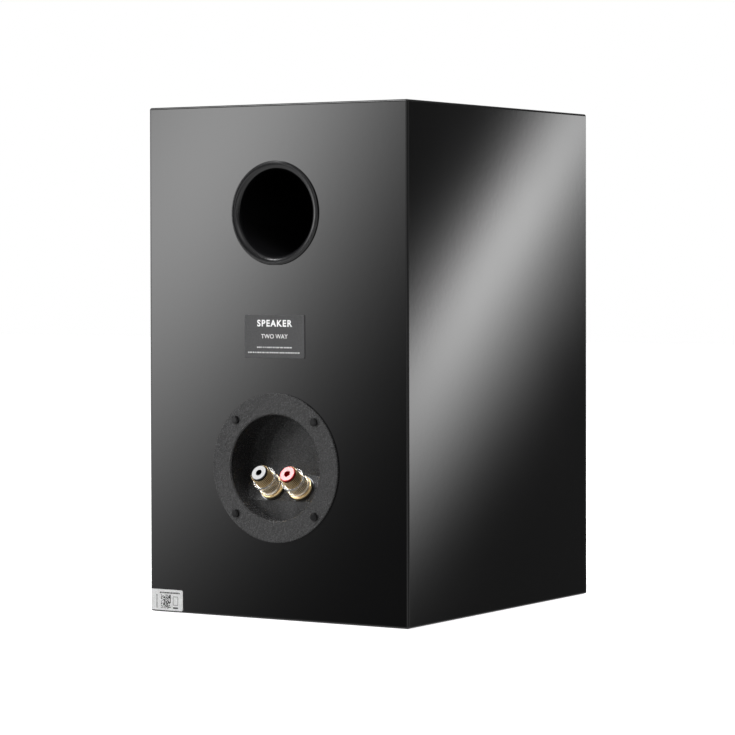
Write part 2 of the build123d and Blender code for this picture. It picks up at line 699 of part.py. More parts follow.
def half_roll(centre, radius, thickness, base, inner_lip, outer_lip):
    """Closed outline of a half-roll surround that bulges forwards between two flat lips."""
    outside = radius + thickness / 2
    inside = radius - thickness / 2
    front = base - thickness
    with BuildLine() as outline:
        ThreePointArc((centre - outside, front), (centre, front - outside), (centre + outside, front))
        ThreePointArc((centre - inside, front), (centre, front - inside), (centre + inside, front))
        Polyline((centre + outside, front), (outer_lip, front), (outer_lip, base), (centre + inside, base))
        Line((centre + inside, base), (centre + inside, front))
        Polyline((centre - outside, front), (inner_lip, front), (inner_lip, base), (centre - inside, base))
        Line((centre - inside, base), (centre - inside, front))
    return outline.line


with BuildPart() as woofer_surround:
    with BuildSketch(turning_plane(WOOFER_Z)):
        with BuildLine():
            seat = ledge_step - 0.05
            lips = (CONE_OUTER_RADIUS - 1.6, 77.3)
            add(half_roll(ROLL_CENTRE_RADIUS, ROLL_RADIUS, ROLL_THICKNESS, seat, *lips))
        make_face()
    revolve(axis=turning_axis(WOOFER_Z))
finish(woofer_surround, "woofer_surround")

# Corrugated spider between the coil former and the ledge inside the basket.
spider_inner = COIL_RADIUS + 0.5
spider_outer = 46.6
wave_start = 19.0
wave_end = 41.0
wave_steps = 6 * SPIDER_WAVES
wave = [
    (
        wave_start + (wave_end - wave_start) * step / wave_steps,
        SPIDER_Y - SPIDER_AMPLITUDE * sin(2 * pi * SPIDER_WAVES * step / wave_steps),
    )
    for step in range(wave_steps + 1)
]
with BuildPart() as woofer_spider:
    with BuildSketch(turning_plane(WOOFER_Z)):
        with BuildLine():
            front_wave = Spline(*wave)
            back_wave = Spline(*[(radius, y + SPIDER_THICKNESS - 0.05) for radius, y in wave])
            Polyline(
                front_wave @ 0,
                (spider_inner, SPIDER_Y),
                (spider_inner, SPIDER_Y + SPIDER_THICKNESS - 0.05),
                back_wave @ 0,
            )
            Polyline(
                front_wave @ 1,
                (spider_outer, SPIDER_Y),
                (spider_outer, SPIDER_Y + SPIDER_THICKNESS - 0.05),
                back_wave @ 1,
            )
        make_face()
    revolve(axis=turning_axis(WOOFER_Z))
finish(woofer_spider, "woofer_spider")


def basket_height(y):
    """Outer radius of the basket's slanted wall at a depth."""
    share = (y - FRONT - 12.5) / (MOTOR_Y - 12.0 - FRONT - 12.5)
    return 73.0 + share * (50.0 - 73.0)


strip_front = FRONT + 24.0
strip_back = FRONT + 35.0
strip_top = WOOFER_Z + 66.0
TAB_SPACING = 11.0
with BuildPart() as woofer_terminals:
    with BuildSketch(Plane.YZ.offset(-9.0)):
        with BuildLine():
            Polyline(
                (strip_front, WOOFER_Z + basket_height(strip_front) + 0.1),
                (strip_back, WOOFER_Z + basket_height(strip_back) + 0.1),
                (strip_back, strip_top),
                (strip_front, strip_top),
                close=True,
            )
        make_face()
    extrude(amount=18.0)
    for x in (-TAB_SPACING / 2, TAB_SPACING / 2):
        with Locations((x, strip_back - 2, strip_top + 0.5)):
            Box(4.8, 14.0, 1.0)
finish(woofer_terminals, "woofer_terminals")


def bend_radii(points):
    """An arc for each corner of a route, as large as the two runs beside it allow."""
    vectors = [Vector(*point) for point in points]
    radii = []
    for before, corner, after in zip(vectors, vectors[1:], vectors[2:]):
        turn = radians((corner - before).get_angle(after - corner))
        shorter = min((corner - before).length, (after - corner).length)
        radii.append(0.45 * shorter / tan(turn / 2))
    return radii


def wire(points, radius):
    """A round wire along straight runs joined by arcs."""
    with BuildPart(mode=Mode.PRIVATE) as strand:
        with BuildLine() as route:
            FilletPolyline(*points, radius=bend_radii(points))
        with BuildSketch(Plane(origin=route.line @ 0, z_dir=route.line % 0)):
            Circle(radius)
        sweep(path=route.line)
    return strand.part


with BuildPart() as woofer_tinsel_leads:
    for sign in (-1, 1):
        add(
            wire(
                (
                    (sign * 9.7, strip_back - 4, strip_top - 7),
                    (sign * 10.5, strip_back - 3, strip_top - 18),
                    (sign * 8.0, strip_back - 6, strip_top - 32),
                    (sign * 6.0, SPIDER_Y - 9.5, WOOFER_Z + 22.5),
                ),
                TINSEL_RADIUS,
            )
        )
finish(woofer_tinsel_leads, "woofer_tinsel_leads")

# ---------------------------------------------------------------- tweeter
throat_y = FRONT + 7.0
hub_back = FRONT + 10.0
with BuildPart() as tweeter_faceplate:
    with BuildSketch(turning_plane(TWEETER_Z)):
        with BuildLine():
            horn = ThreePointArc((41.0, FRONT), (30.0, FRONT + 2.2), (THROAT_RADIUS, throat_y))
            Polyline(
                horn @ 1,
                (THROAT_RADIUS, hub_back - 0.8),
                (14.5, hub_back - 0.8),
                (14.5, hub_back),
                (36.0, hub_back),
                (36.0, flange_back),
                (TWEETER_RADIUS, flange_back),
                (TWEETER_RADIUS, FRONT + 0.8),
                (TWEETER_RADIUS - 0.8, FRONT),
                horn @ 0,
            )
        make_face()
    revolve(axis=turning_axis(TWEETER_Z))
    with Locations(front_plane(FRONT, TWEETER_Z)):
        with PolarLocations(TWEETER_SCREW_RADIUS, TWEETER_SCREWS, start_angle=180 / TWEETER_SCREWS):
            CounterSinkHole(DRIVER_SCREW_SHANK + 0.2, DRIVER_SCREW_HEAD + 0.1, depth=FLANGE + 1)
finish(tweeter_faceplate, "tweeter_faceplate")

with BuildPart() as tweeter_gasket:
    with BuildSketch(front_plane(flange_back, TWEETER_Z)):
        Circle(TWEETER_RADIUS - 0.5)
        Circle(TWEETER_HOLE_RADIUS + 0.5, mode=Mode.SUBTRACT)
        with PolarLocations(TWEETER_SCREW_RADIUS, TWEETER_SCREWS, start_angle=180 / TWEETER_SCREWS):
            Circle(DRIVER_SCREW_SHANK + 0.3, mode=Mode.SUBTRACT)
    extrude(amount=-TWEETER_GASKET)
finish(tweeter_gasket, "tweeter_gasket")

dome_seat = throat_y + 1.4
with BuildPart() as tweeter_dome:
    with BuildSketch(turning_plane(TWEETER_Z)):
        with BuildLine():
            crown_y = dome_seat - DOME_RISE
            outer = ThreePointArc(
                (-DOME_RADIUS, dome_seat), (0, crown_y), (DOME_RADIUS, dome_seat), mode=Mode.PRIVATE
            )
            rim = DOME_RADIUS - 0.5
            inner = ThreePointArc((-rim, dome_seat), (0, crown_y + 0.4), (rim, dome_seat), mode=Mode.PRIVATE)
            add(outer.trim(0.5, 1))
            add(inner.trim(0.5, 1))
            Line(outer @ 0.5, inner @ 0.5)
            Line(outer @ 1, inner @ 1)
        make_face()
    revolve(axis=turning_axis(TWEETER_Z))
finish(tweeter_dome, "tweeter_dome")

with BuildPart() as tweeter_surround:
    with BuildSketch(turning_plane(TWEETER_Z)):
        with BuildLine():
            add(half_roll(15.6, 1.1, 0.4, dome_seat + 0.35, DOME_RADIUS + 0.15, THROAT_RADIUS - 0.1))
        make_face()
    revolve(axis=turning_axis(TWEETER_Z))
finish(tweeter_surround, "tweeter_surround")

TWEETER_COIL = 13.2
TWEETER_PLATE = 4.0
TWEETER_MAGNET = 12.0
with BuildPart() as tweeter_coil_former:
    add(ring(front_plane(dome_seat, TWEETER_Z), TWEETER_COIL + 0.25, TWEETER_COIL, 8.0))
finish(tweeter_coil_former, "tweeter_coil_former")

with BuildPart() as tweeter_winding:
    add(ring(front_plane(hub_back + 0.5, TWEETER_Z), TWEETER_COIL + 0.75, TWEETER_COIL + 0.25, 3.0))
finish(tweeter_winding, "tweeter_winding")

with BuildPart() as tweeter_top_plate:
    add(ring(front_plane(hub_back, TWEETER_Z), 33.0, 14.5, TWEETER_PLATE))
finish(tweeter_top_plate, "tweeter_top_plate")

with BuildPart() as tweeter_magnet:
    add(ring(front_plane(hub_back + TWEETER_PLATE, TWEETER_Z), 33.5, 18.0, TWEETER_MAGNET))
    chamfer(tweeter_magnet.edges().filter_by(GeomType.CIRCLE), 0.6)
finish(tweeter_magnet, "tweeter_magnet")

with BuildPart() as tweeter_yoke:
    add(ring(front_plane(hub_back + TWEETER_PLATE + TWEETER_MAGNET, TWEETER_Z), 32.0, 3.0, 4.0))
    add(ring(front_plane(hub_back, TWEETER_Z), TWEETER_COIL - 0.5, 3.0, TWEETER_PLATE + TWEETER_MAGNET))
finish(tweeter_yoke, "tweeter_yoke")

tab_z = TWEETER_Z - 35.6
with BuildPart() as tweeter_terminals:
    with Locations((0, hub_back + 3.5, tab_z)):
        Box(16.0, 7.0, 2.8)
    with Locations((-4.5, hub_back + 10.5, tab_z), (4.5, hub_back + 10.5, tab_z)):
        Box(4.0, 7.0, 0.8)
finish(tweeter_terminals, "tweeter_terminals")

# Countersunk cross-recessed screws of both drivers, flush with their faceplates.
HEAD_DEPTH = DRIVER_SCREW_HEAD - DRIVER_SCREW_SHANK
with BuildPart() as driver_screws:
    for z, circle, count in (
        (WOOFER_Z, WOOFER_SCREW_RADIUS, WOOFER_SCREWS),
        (TWEETER_Z, TWEETER_SCREW_RADIUS, TWEETER_SCREWS),
    ):
        start = 180 / count
        with BuildSketch(front_plane(FRONT + 0.1, z)):
            with PolarLocations(circle, count, start_angle=start):
                Circle(DRIVER_SCREW_HEAD)
        extrude(amount=-HEAD_DEPTH, taper=45)
        with BuildSketch(front_plane(FRONT + 1.0, z)):
            with PolarLocations(circle, count, start_angle=start):
                Circle(DRIVER_SCREW_SHANK)
        extrude(amount=-DRIVER_SCREW_LENGTH + 1.0)
        with BuildSketch(front_plane(FRONT + 0.1, z)):
            with PolarLocations(circle, count, start_angle=start):
                Rectangle(3.8, 0.9)
                Rectangle(0.9, 3.8)
        extrude(amount=-1.3, mode=Mode.SUBTRACT)
finish(driver_screws, "driver_screws")

# ---------------------------------------------------------------- crossover
board_span = (BOARD_SIZE[0] - 12.0, BOARD_SIZE[1] - 12.0)
board_centre = Plane(origin=(0, BOARD_Y, WALL + BOARD_LIFT))
with BuildPart() as crossover_board:
    with BuildSketch(board_centre):
        RectangleRounded(*BOARD_SIZE, 3)
        with GridLocations(*board_span, 2, 2):
            Circle(1.8, mode=Mode.SUBTRACT)
    extrude(amount=BOARD_THICKNESS)
    # Tab connectors along the edges: input at the back, drivers at the front.
    with BuildSketch(board_centre.offset(BOARD_THICKNESS)):
        with Locations((30, 38), (24, 38), (46, -38), (40, -38), (-46, -38), (-40, -38)):
            Rectangle(1.0, 5.0)
    extrude(amount=6.5)
finish(crossover_board, "crossover_board")

with BuildPart() as crossover_standoffs:
    with BuildSketch(Plane(origin=(0, BOARD_Y, WALL))):
        with GridLocations(*board_span, 2, 2):
            Circle(3.5)
    extrude(amount=BOARD_LIFT)
    with BuildSketch(Plane(origin=(0, BOARD_Y, WALL))):
        with GridLocations(*board_span, 2, 2):
            Circle(1.6)
    extrude(amount=BOARD_LIFT + BOARD_THICKNESS + 0.5)
    with BuildSketch(Plane(origin=(0, BOARD_Y, BOARD_TOP))):
        with GridLocations(*board_span, 2, 2):
            Circle(3.0)
    extrude(amount=1.8)
finish(crossover_standoffs, "crossover_standoffs")

with BuildPart() as crossover_inductors:
    for x, y, outer_radius, inner_radius, height in (
        (-32.0, 48.0, 18.0, 9.0, 16.0),
        (8.0, 2.0, 13.0, 6.0, 12.0),
    ):
        add(ring(Plane(origin=(x, y, BOARD_TOP + 1.5 + height)), outer_radius - 1.5, inner_radius, height))
        add(ring(Plane(origin=(x, y, BOARD_TOP + 1.5)), outer_radius, inner_radius - 1.5, 1.5))
        add(ring(Plane(origin=(x, y, BOARD_TOP + 3.0 + height)), outer_radius, inner_radius - 1.5, 1.5))
        add(ring(Plane(origin=(x, y, BOARD_TOP + 1.5 + height)), inner_radius, inner_radius - 1.5, height))
finish(crossover_inductors, "crossover_inductors")

with BuildPart() as crossover_capacitors:
    for x, y, radius, length in ((24.0, 54.0, 7.0, 30.0), (-30.0, 14.0, 8.5, 34.0)):
        end = (x - length / 2, y, BOARD_TOP + radius)
        with BuildSketch(Plane(origin=end, x_dir=(0, 1, 0), z_dir=(1, 0, 0))):
            Circle(radius)
        extrude(amount=length)
    fillet(crossover_capacitors.edges().filter_by(GeomType.CIRCLE), 1.0)
finish(crossover_capacitors, "crossover_capacitors")

with BuildPart() as crossover_resistors:
    with Locations((38.0, 22.0, BOARD_TOP + 4.0), (38.0, 36.0, BOARD_TOP + 4.0)):
        Box(34.0, 8.5, 8.0)
    chamfer(crossover_resistors.edges().filter_by(Axis.X), 0.8)
finish(crossover_resistors, "crossover_resistors")

# ---------------------------------------------------------------- internal wiring, with its routes
tab_top = BOARD_TOP + 6.5
tag_centre = post_tip["negative"] - post_axis * (tag_seat + TAG_THICKNESS)
with BuildPart() as input_leads:
    for x_tag, x_tab in ((tag_centre.X + TAG_REACH - 2, 30.0), (-tag_centre.X - TAG_REACH + 2, 24.0)):
        add(
            wire(
                (
                    (x_tag, tag_centre.Y - 1.0, tag_centre.Z - 0.8),
                    (x_tag, tag_centre.Y - 13.0, tag_centre.Z - 8.0),
                    ((x_tag + 2 * x_tab) / 3, tag_centre.Y - 19.0, tag_centre.Z - 24.0),
                    (x_tab, BOARD_Y + 42.0, tab_top + 16.0),
                    (x_tab, BOARD_Y + 38.0, tab_top + 0.9),
                ),
                LEAD_RADIUS,
            )
        )
finish(input_leads, "input_leads")

with BuildPart() as woofer_leads:
    for x_tab, x_strip, lane in ((46.0, TAB_SPACING / 2, 56.0), (40.0, -TAB_SPACING / 2, 52.5)):
        add(
            wire(
                (
                    (x_tab, BOARD_Y - 38.0, tab_top + 0.2),
                    (x_tab + 2.0, BOARD_Y - 40.0, tab_top + 20.0),
                    (lane, -22.0, 90.0),
                    (lane - 2.0, -32.0, 146.0),
                    (x_strip + 24.0, -52.0, 186.0),
                    (x_strip, strip_back + 22.0, 186.0),
                    (x_strip, strip_back + 5.3, strip_top + 0.6),
                ),
                LEAD_RADIUS,
            )
        )
finish(woofer_leads, "woofer_leads")

with BuildPart() as tweeter_leads:
    for x_tab, x_tag, lane in ((-46.0, -4.5, -56.0), (-40.0, 4.5, -52.5)):
        add(
            wire(
                (
                    (x_tab, BOARD_Y - 38.0, tab_top + 0.2),
                    (x_tab - 2.0, BOARD_Y - 41.0, tab_top + 20.0),
                    (lane, -24.0, 90.0),
                    (lane + 1.0, -28.0, 150.0),
                    (lane + 3.0, -34.0, 206.0),
                    (x_tag - 14.0, -62.0, 229.0),
                    (x_tag, hub_back + 26.0, tab_z),
                    (x_tag, hub_back + 14.2, tab_z),
                ),
                LEAD_RADIUS,
            )
        )
finish(tweeter_leads, "tweeter_leads")
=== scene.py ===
import json
import math
import random

import bmesh
import bpy
from mathutils import Matrix, Vector, geometry, noise


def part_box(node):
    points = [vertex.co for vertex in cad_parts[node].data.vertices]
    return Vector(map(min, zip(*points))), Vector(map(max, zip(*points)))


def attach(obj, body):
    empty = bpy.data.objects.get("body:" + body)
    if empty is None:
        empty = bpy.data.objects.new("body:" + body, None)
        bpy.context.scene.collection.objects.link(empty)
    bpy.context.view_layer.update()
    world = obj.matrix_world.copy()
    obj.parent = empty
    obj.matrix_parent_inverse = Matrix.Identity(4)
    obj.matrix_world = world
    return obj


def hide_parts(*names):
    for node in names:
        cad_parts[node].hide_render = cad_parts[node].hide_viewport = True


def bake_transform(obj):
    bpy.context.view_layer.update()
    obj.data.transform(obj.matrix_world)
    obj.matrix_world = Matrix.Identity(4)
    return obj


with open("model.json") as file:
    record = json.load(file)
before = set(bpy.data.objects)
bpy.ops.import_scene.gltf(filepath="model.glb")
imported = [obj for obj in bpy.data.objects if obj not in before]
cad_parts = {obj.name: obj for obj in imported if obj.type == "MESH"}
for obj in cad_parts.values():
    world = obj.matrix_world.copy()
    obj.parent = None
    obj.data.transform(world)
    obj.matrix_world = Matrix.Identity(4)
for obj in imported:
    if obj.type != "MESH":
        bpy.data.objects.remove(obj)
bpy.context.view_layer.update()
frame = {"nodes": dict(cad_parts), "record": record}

nodes = frame["nodes"]
MM = 0.001


# ------------------------------------------------------------------ places read from the frame
def middle(node):
    """Centre of a CAD node's box."""
    low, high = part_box(node)
    return (Vector(low) + Vector(high)) / 2


front_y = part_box("front_baffle")[0][1]
woofer_z = middle("woofer_magnet").z
tweeter_z = middle("tweeter_magnet").z


# ------------------------------------------------------------------ camera
# Fitted to the cabinet's corners in the photograph. Distances in metres, the lens and sensor in millimetres.
CAMERA_AZIMUTH = math.radians(211.817)
CAMERA_DISTANCE = 2.09017
CAMERA_HEIGHT = 0.235407
CAMERA_YAW = math.radians(0.113)
CAMERA_PITCH = math.radians(-0.739)
CAMERA_ROLL = math.radians(-0.121)
CAMERA_LENS = 147.86
CAMERA_SENSOR_WIDTH = 36
CAMERA_SHIFT = -0.09


def add_camera():
    """The photograph's view: from behind, a little to the side, almost level."""
    data = bpy.data.cameras.new("camera")
    data.lens = CAMERA_LENS
    data.sensor_width = CAMERA_SENSOR_WIDTH
    data.shift_y = CAMERA_SHIFT
    camera = bpy.data.objects.new("camera", data)
    bpy.context.scene.collection.objects.link(camera)
    facing = CAMERA_AZIMUTH + CAMERA_YAW
    level = Vector((-math.sin(facing), math.cos(facing), 0))
    right = Vector((math.cos(facing), math.sin(facing), 0))
    up = Vector((0, 0, 1))
    forward = level * math.cos(CAMERA_PITCH) + up * math.sin(CAMERA_PITCH)
    tall = up * math.cos(CAMERA_PITCH) - level * math.sin(CAMERA_PITCH)
    across = right * math.cos(CAMERA_ROLL) + tall * math.sin(CAMERA_ROLL)
    tall = tall * math.cos(CAMERA_ROLL) - right * math.sin(CAMERA_ROLL)
    turn = Matrix((across, tall, -forward)).transposed().to_4x4()
    stand = Vector((math.sin(CAMERA_AZIMUTH), -math.cos(CAMERA_AZIMUTH), 0)) * CAMERA_DISTANCE
    stand.z = CAMERA_HEIGHT
    camera.matrix_world = Matrix.Translation(stand) @ turn
    bpy.context.scene.camera = camera


add_camera()
bpy.context.scene.view_settings.view_transform = "Standard"


# ------------------------------------------------------------------ node helpers
class Shader:
    """A small builder for a node tree: node() adds a node, wires its inputs and returns its output."""

    def __init__(self, tree):
        self.tree = tree

    def node(self, kind, inputs=None, output=0, **settings):
        made = self.tree.nodes.new(kind)
        for key, value in settings.items():
            setattr(made, key, value)
        for key, value in (inputs or {}).items():
            socket = made.inputs[key]
            if isinstance(value, bpy.types.NodeSocket):
                self.tree.links.new(value, socket)
            else:
                socket.default_value = value
        return made.outputs[output]

    def math(self, operation, *values):
        return self.node("ShaderNodeMath", dict(enumerate(values)), operation=operation)

    def blend(self, share, low, high):
        """A share of 0 to 1, mapped to low to high (the node's sockets 3 and 4)."""
        return self.node("ShaderNodeMapRange", {0: share, 3: low, 4: high})

    def ramp(self, share, stops):
        """Colour at a share of 0 to 1, from (position, colour) stops in order."""
        made = self.tree.nodes.new("ShaderNodeValToRGB")
        self.tree.links.new(share, made.inputs[0])
        band = made.color_ramp
        band.elements[0].position, band.elements[0].color = stops[0]
        band.elements[1].position, band.elements[1].color = stops[-1]
        for position, colour in stops[1:-1]:
            band.elements.new(position).color = colour
        return made.outputs[0]


def grey(value):
    return (value, value, value, 1)


# ------------------------------------------------------------------ studio
# What glossy surfaces mirror: soft cards, each given by the azimuth and elevation of the direction it is seen
# in, its tilt, its softness across and along (standard deviations, all in degrees) and its brightness.
CARDS = (
    (37.5, 48.6, 0.0, 5.0, 5.0, 19.0),
    (50.0, 17.5, 0.0, 4.2, 4.2, 1.6),
    (232.0, 20.0, 0.0, 5.0, 5.0, 1.8),
    (-21.0, 27.0, 0.0, 8.0, 6.0, 1.8),
    (122.0, 28.0, 0.0, 14.0, 12.0, 1.5),
    (24.0, 3.0, 0.0, 7.5, 8.0, 4.2),
    (55.1, 2.4, 153.0, 2.05, 5.3, 6.4),
    (241.5, 1.8, 148.5, 0.46, 4.1, 3.0),
    (239.8, -1.7, 150.0, 0.76, 3.6, 2.7),
    (296.0, -4.0, 157.0, 3.4, 15.0, 2.6),
    (270.0, -14.0, 25.0, 2.6, 12.0, 1.6),
    (222.0, -10.0, 20.0, 3.0, 13.0, 2.0),
    (322.0, -10.0, 155.0, 3.0, 13.0, 2.0),
    (36.0, -10.0, 22.0, 3.0, 13.0, 2.2),
    (84.0, -10.0, 158.0, 3.2, 14.0, 2.2),
    (118.0, -8.0, 22.0, 3.6, 14.0, 2.2),
    (144.0, -10.0, 155.0, 3.0, 14.0, 2.0),
    (180.0, -5.0, 160.0, 3.6, 16.0, 1.6),
    (0.0, -5.0, 20.0, 3.6, 16.0, 1.6),
)
# What glossy surfaces mirror between the cards, from straight down (0) to straight up (1).
MIRRORED_SKY = (
    (0.0, 1.0),
    (0.25, 0.7),
    (0.36, 0.22),
    (0.43, 0.08),
    (0.58, 0.08),
    (0.74, 0.16),
    (1.0, 0.6),
)
# What the sky gives to rough surfaces.
SKY_TINT = (0.97, 0.985, 1.0, 1)
SKY_FOR_LIGHT = 0.09
HALF_TURN = 180.0
FULL_TURN = 360.0


def add_world():
    """White for the camera, a dim even sky for light on rough surfaces, and soft cards for reflections."""
    world = bpy.data.worlds.new("studio")
    world.use_nodes = True
    bpy.context.scene.world = world
    tree = world.node_tree
    tree.nodes.clear()
    sh = Shader(tree)
    way = sh.node("ShaderNodeTexCoord")
    x, y, z = (sh.node("ShaderNodeSeparateXYZ", {0: way}, output=i) for i in range(3))
    azimuth = sh.math("MULTIPLY", sh.math("ARCTAN2", y, x), HALF_TURN / math.pi)
    elevation = sh.math("MULTIPLY", sh.math("ARCSINE", z), HALF_TURN / math.pi)
    upward = sh.math("MULTIPLY_ADD", z, 0.5, 0.5)
    total = sh.ramp(upward, [(height, grey(level)) for height, level in MIRRORED_SKY])
    for card_azimuth, card_elevation, tilt, across, along, brightness in CARDS:
        # The difference of azimuths, made positive by adding turns, then wrapped to -180..180 degrees.
        offset = sh.math("ADD", sh.math("SUBTRACT", azimuth, card_azimuth), 2.5 * FULL_TURN)
        offset = sh.math("SUBTRACT", sh.math("MODULO", offset, FULL_TURN), HALF_TURN)
        rise = sh.math("SUBTRACT", elevation, card_elevation)
        cosine, sine = math.cos(math.radians(tilt)), math.sin(math.radians(tilt))
        u = sh.math("MULTIPLY_ADD", offset, cosine / across, sh.math("MULTIPLY", rise, sine / across))
        v = sh.math("MULTIPLY_ADD", offset, -sine / along, sh.math("MULTIPLY", rise, cosine / along))
        square = sh.math("MULTIPLY_ADD", u, u, sh.math("MULTIPLY", v, v))
        card = sh.math("EXPONENT", sh.math("MULTIPLY", square, -0.5))
        total = sh.math("MULTIPLY_ADD", card, brightness, total)
    path = tree.nodes.new("ShaderNodeLightPath")
    mirrored = sh.node("ShaderNodeBackground", {0: grey(1), 1: total})
    light = sh.node("ShaderNodeBackground", {0: SKY_TINT, 1: SKY_FOR_LIGHT})
    seen = sh.node("ShaderNodeBackground", {0: grey(1), 1: 1.0})
    plain = sh.node("ShaderNodeMixShader", {0: path.outputs["Is Diffuse Ray"], 1: seen, 2: light})
    mixed = sh.node("ShaderNodeMixShader", {0: path.outputs["Is Glossy Ray"], 1: plain, 2: mirrored})
    tree.links.new(mixed, tree.nodes.new("ShaderNodeOutputWorld").inputs[0])


def add_area_light(name, target, direction, distance, size, radiance):
    """A square softbox that faces a point from a direction. The cards stand for it in reflections."""
    data = bpy.data.lights.new(name, "AREA")
    data.size = size
    data.energy = radiance * math.pi * size * size
    light = bpy.data.objects.new(name, data)
    bpy.context.scene.collection.objects.link(light)
    way = Vector(direction).normalized()
    light.location = Vector(target) + way * distance
    light.rotation_euler = way.to_track_quat("Z", "Y").to_euler()
    light.visible_glossy = False


FLOOR_HALF = 6.0
FLOOR_DROP = 0.5 * MM
FLOOR_GREY = 0.8
FLOOR_ROUGHNESS = 0.9
FLOOR_GLOW = 0.92


def add_floor():
    """A pale floor that glows almost white, and is left out of reflections and of bounced light."""
    mesh = bpy.data.meshes.new("floor")
    half = FLOOR_HALF
    corners = [(-half, -half, 0), (half, -half, 0), (half, half, 0), (-half, half, 0)]
    mesh.from_pydata(corners, [], [(0, 1, 2, 3)])
    floor = bpy.data.objects.new("floor", mesh)
    bpy.context.scene.collection.objects.link(floor)
    floor.location.z = -FLOOR_DROP
    paint = bpy.data.materials.new("floor")
    paint.use_nodes = True
    shader = paint.node_tree.nodes["Principled BSDF"]
    shader.inputs["Base Color"].default_value = grey(FLOOR_GREY)
    shader.inputs["Roughness"].default_value = FLOOR_ROUGHNESS
    shader.inputs["Emission Color"].default_value = grey(1)
    shader.inputs["Emission Strength"].default_value = FLOOR_GLOW
    mesh.materials.append(paint)
    floor.visible_glossy = False
    floor.visible_diffuse = False


CABINET_HEIGHT = 0.34
POSTS = (middle("knob_tip_negative") + middle("knob_tip_positive")) / 2
# Each lamp's name, the point it faces, the direction it stands in, its distance, its edge and its radiance.
LAMPS = (
    ("key", POSTS, (0.78, 0.75, 0.36), 1.6, 0.42, 34.0),
    ("rear_upper", POSTS, (0.16, 0.52, 0.84), 1.6, 0.5, 26.0),
    ("front_key", (0, front_y, CABINET_HEIGHT / 2), (-0.45, -0.75, 0.50), 1.6, 0.5, 26.0),
    ("top_fill", (0, 0, CABINET_HEIGHT), (0.1, 0.1, 1.0), 2.0, 1.2, 2.0),
)

add_world()
add_floor()
for lamp in LAMPS:
    add_area_light(*lamp)


# ------------------------------------------------------------------ materials
def material(name, colour, roughness, metallic=0.0, **sockets):
    """A Principled material, and the builder for its tree."""
    made = bpy.data.materials.new(name)
    made.use_nodes = True
    shader = made.node_tree.nodes["Principled BSDF"]
    shader.inputs["Base Color"].default_value = (*colour, 1)
    shader.inputs["Roughness"].default_value = roughness
    shader.inputs["Metallic"].default_value = metallic
    for key, value in sockets.items():
        shader.inputs[key.replace("_", " ")].default_value = value
    return made, Shader(made.node_tree), shader


def place(sh):
    """Object coordinates, in metres."""
    return sh.node("ShaderNodeTexCoord", output=3)


def speckle(sh, scale, detail=2.0, where=None):
    return sh.node("ShaderNodeTexNoise", {"Vector": where or place(sh), "Scale": scale, "Detail": detail})


DEFAULT_DETAIL = 3.0


def vary_roughness(sh, shader, scale, low, high):
    share = speckle(sh, scale, DEFAULT_DETAIL)
    sh.tree.links.new(sh.blend(share, low, high), shader.inputs["Roughness"])


def vary_colour(sh, shader, scale, low, high, detail=DEFAULT_DETAIL):
    colour = sh.ramp(speckle(sh, scale, detail), ((0.3, (*low, 1)), (0.7, (*high, 1))))
    sh.tree.links.new(colour, shader.inputs["Base Color"])


def bump(sh, shader, height, depth):
    """Relief of a given depth in metres from a 0 to 1 height."""
    normal = sh.node("ShaderNodeBump", {"Strength": 1.0, "Distance": depth, "Height": height})
    sh.tree.links.new(normal, shader.inputs["Normal"])


def lacquer():
    """Polished black lacquer: hardly any relief, faint polishing haze in broad patches."""
    made, sh, shader = material("gloss_lacquer", (0.0015, 0.0015, 0.0016), 0.04)
    vary_roughness(sh, shader, scale=9.0, low=0.02, high=0.06)
    bump(sh, shader, speckle(sh, 260.0, 1.0), 0.0000015)
    return made


def moulded(name, colour, roughness, grain, depth):
    """A moulded or pressed surface with an even grain: grain is its scale per metre, depth in metres."""
    made, sh, shader = material(name, colour, roughness)
    lighter = tuple(c * 1.5 + 0.004 for c in colour)
    vary_colour(sh, shader, grain * 0.8, colour, lighter, 4.0)
    vary_roughness(sh, shader, grain * 0.5, roughness - 0.07, roughness + 0.08)
    bump(sh, shader, speckle(sh, grain, 3.0), depth)
    return made


def leathered(name, dark, light, roughness, grain, depth):
    """Black plastic with a coarse, clearly visible leather grain between two shades of grey."""
    made, sh, shader = material(name, (dark, dark, dark), roughness, Specular_IOR_Level=0.5)
    cells = sh.node("ShaderNodeTexVoronoi", {"Vector": place(sh), "Scale": grain * 1.1})
    mottle = sh.math("MULTIPLY_ADD", cells, 0.5, sh.math("MULTIPLY", speckle(sh, grain, 3.0), 0.6))
    colour = sh.ramp(mottle, ((0.35, (dark, dark, dark, 1)), (0.75, (light, light, light * 1.02, 1))))
    sh.tree.links.new(colour, shader.inputs["Base Color"])
    vary_roughness(sh, shader, grain, roughness - 0.08, roughness + 0.1)
    bump(sh, shader, mottle, depth)
    return made


def polished(name, colour, roughness, **sockets):
    """Smooth gloss plastic with light handling wear."""
    made, sh, shader = material(name, colour, roughness, **sockets)
    vary_roughness(sh, shader, 600.0, roughness * 0.7, roughness * 1.5)
    bump(sh, shader, speckle(sh, 900.0, 2.0), 0.000004)
    return made


def metal(name, colour, roughness, grain=1500.0, depth=0.000006):
    """Bare or plated metal with a fine grain, a little darker in places."""
    made, sh, shader = material(name, colour, roughness, 1.0)
    vary_colour(sh, shader, grain * 0.3, tuple(c * 0.8 for c in colour), colour)
    vary_roughness(sh, shader, grain * 0.5, roughness * 0.7, roughness * 1.4)
    bump(sh, shader, speckle(sh, grain, 2.0), depth)
    return made


# Distance from the knob's axis to the bottom of a groove and to a crest, and the colours between: painted
# shade in dark brown at the bottom of the grooves, the plating's gold towards the crests.
GROOVE_RADIUS = 6.0 * MM
CREST_RADIUS = 6.24 * MM
PLATING_AND_GROOVE_SHADE = ((0.1, (0.07, 0.045, 0.02, 1)), (0.55, (0.62, 0.44, 0.22, 1)), (1.0, (0.90, 0.72, 0.44, 1)))


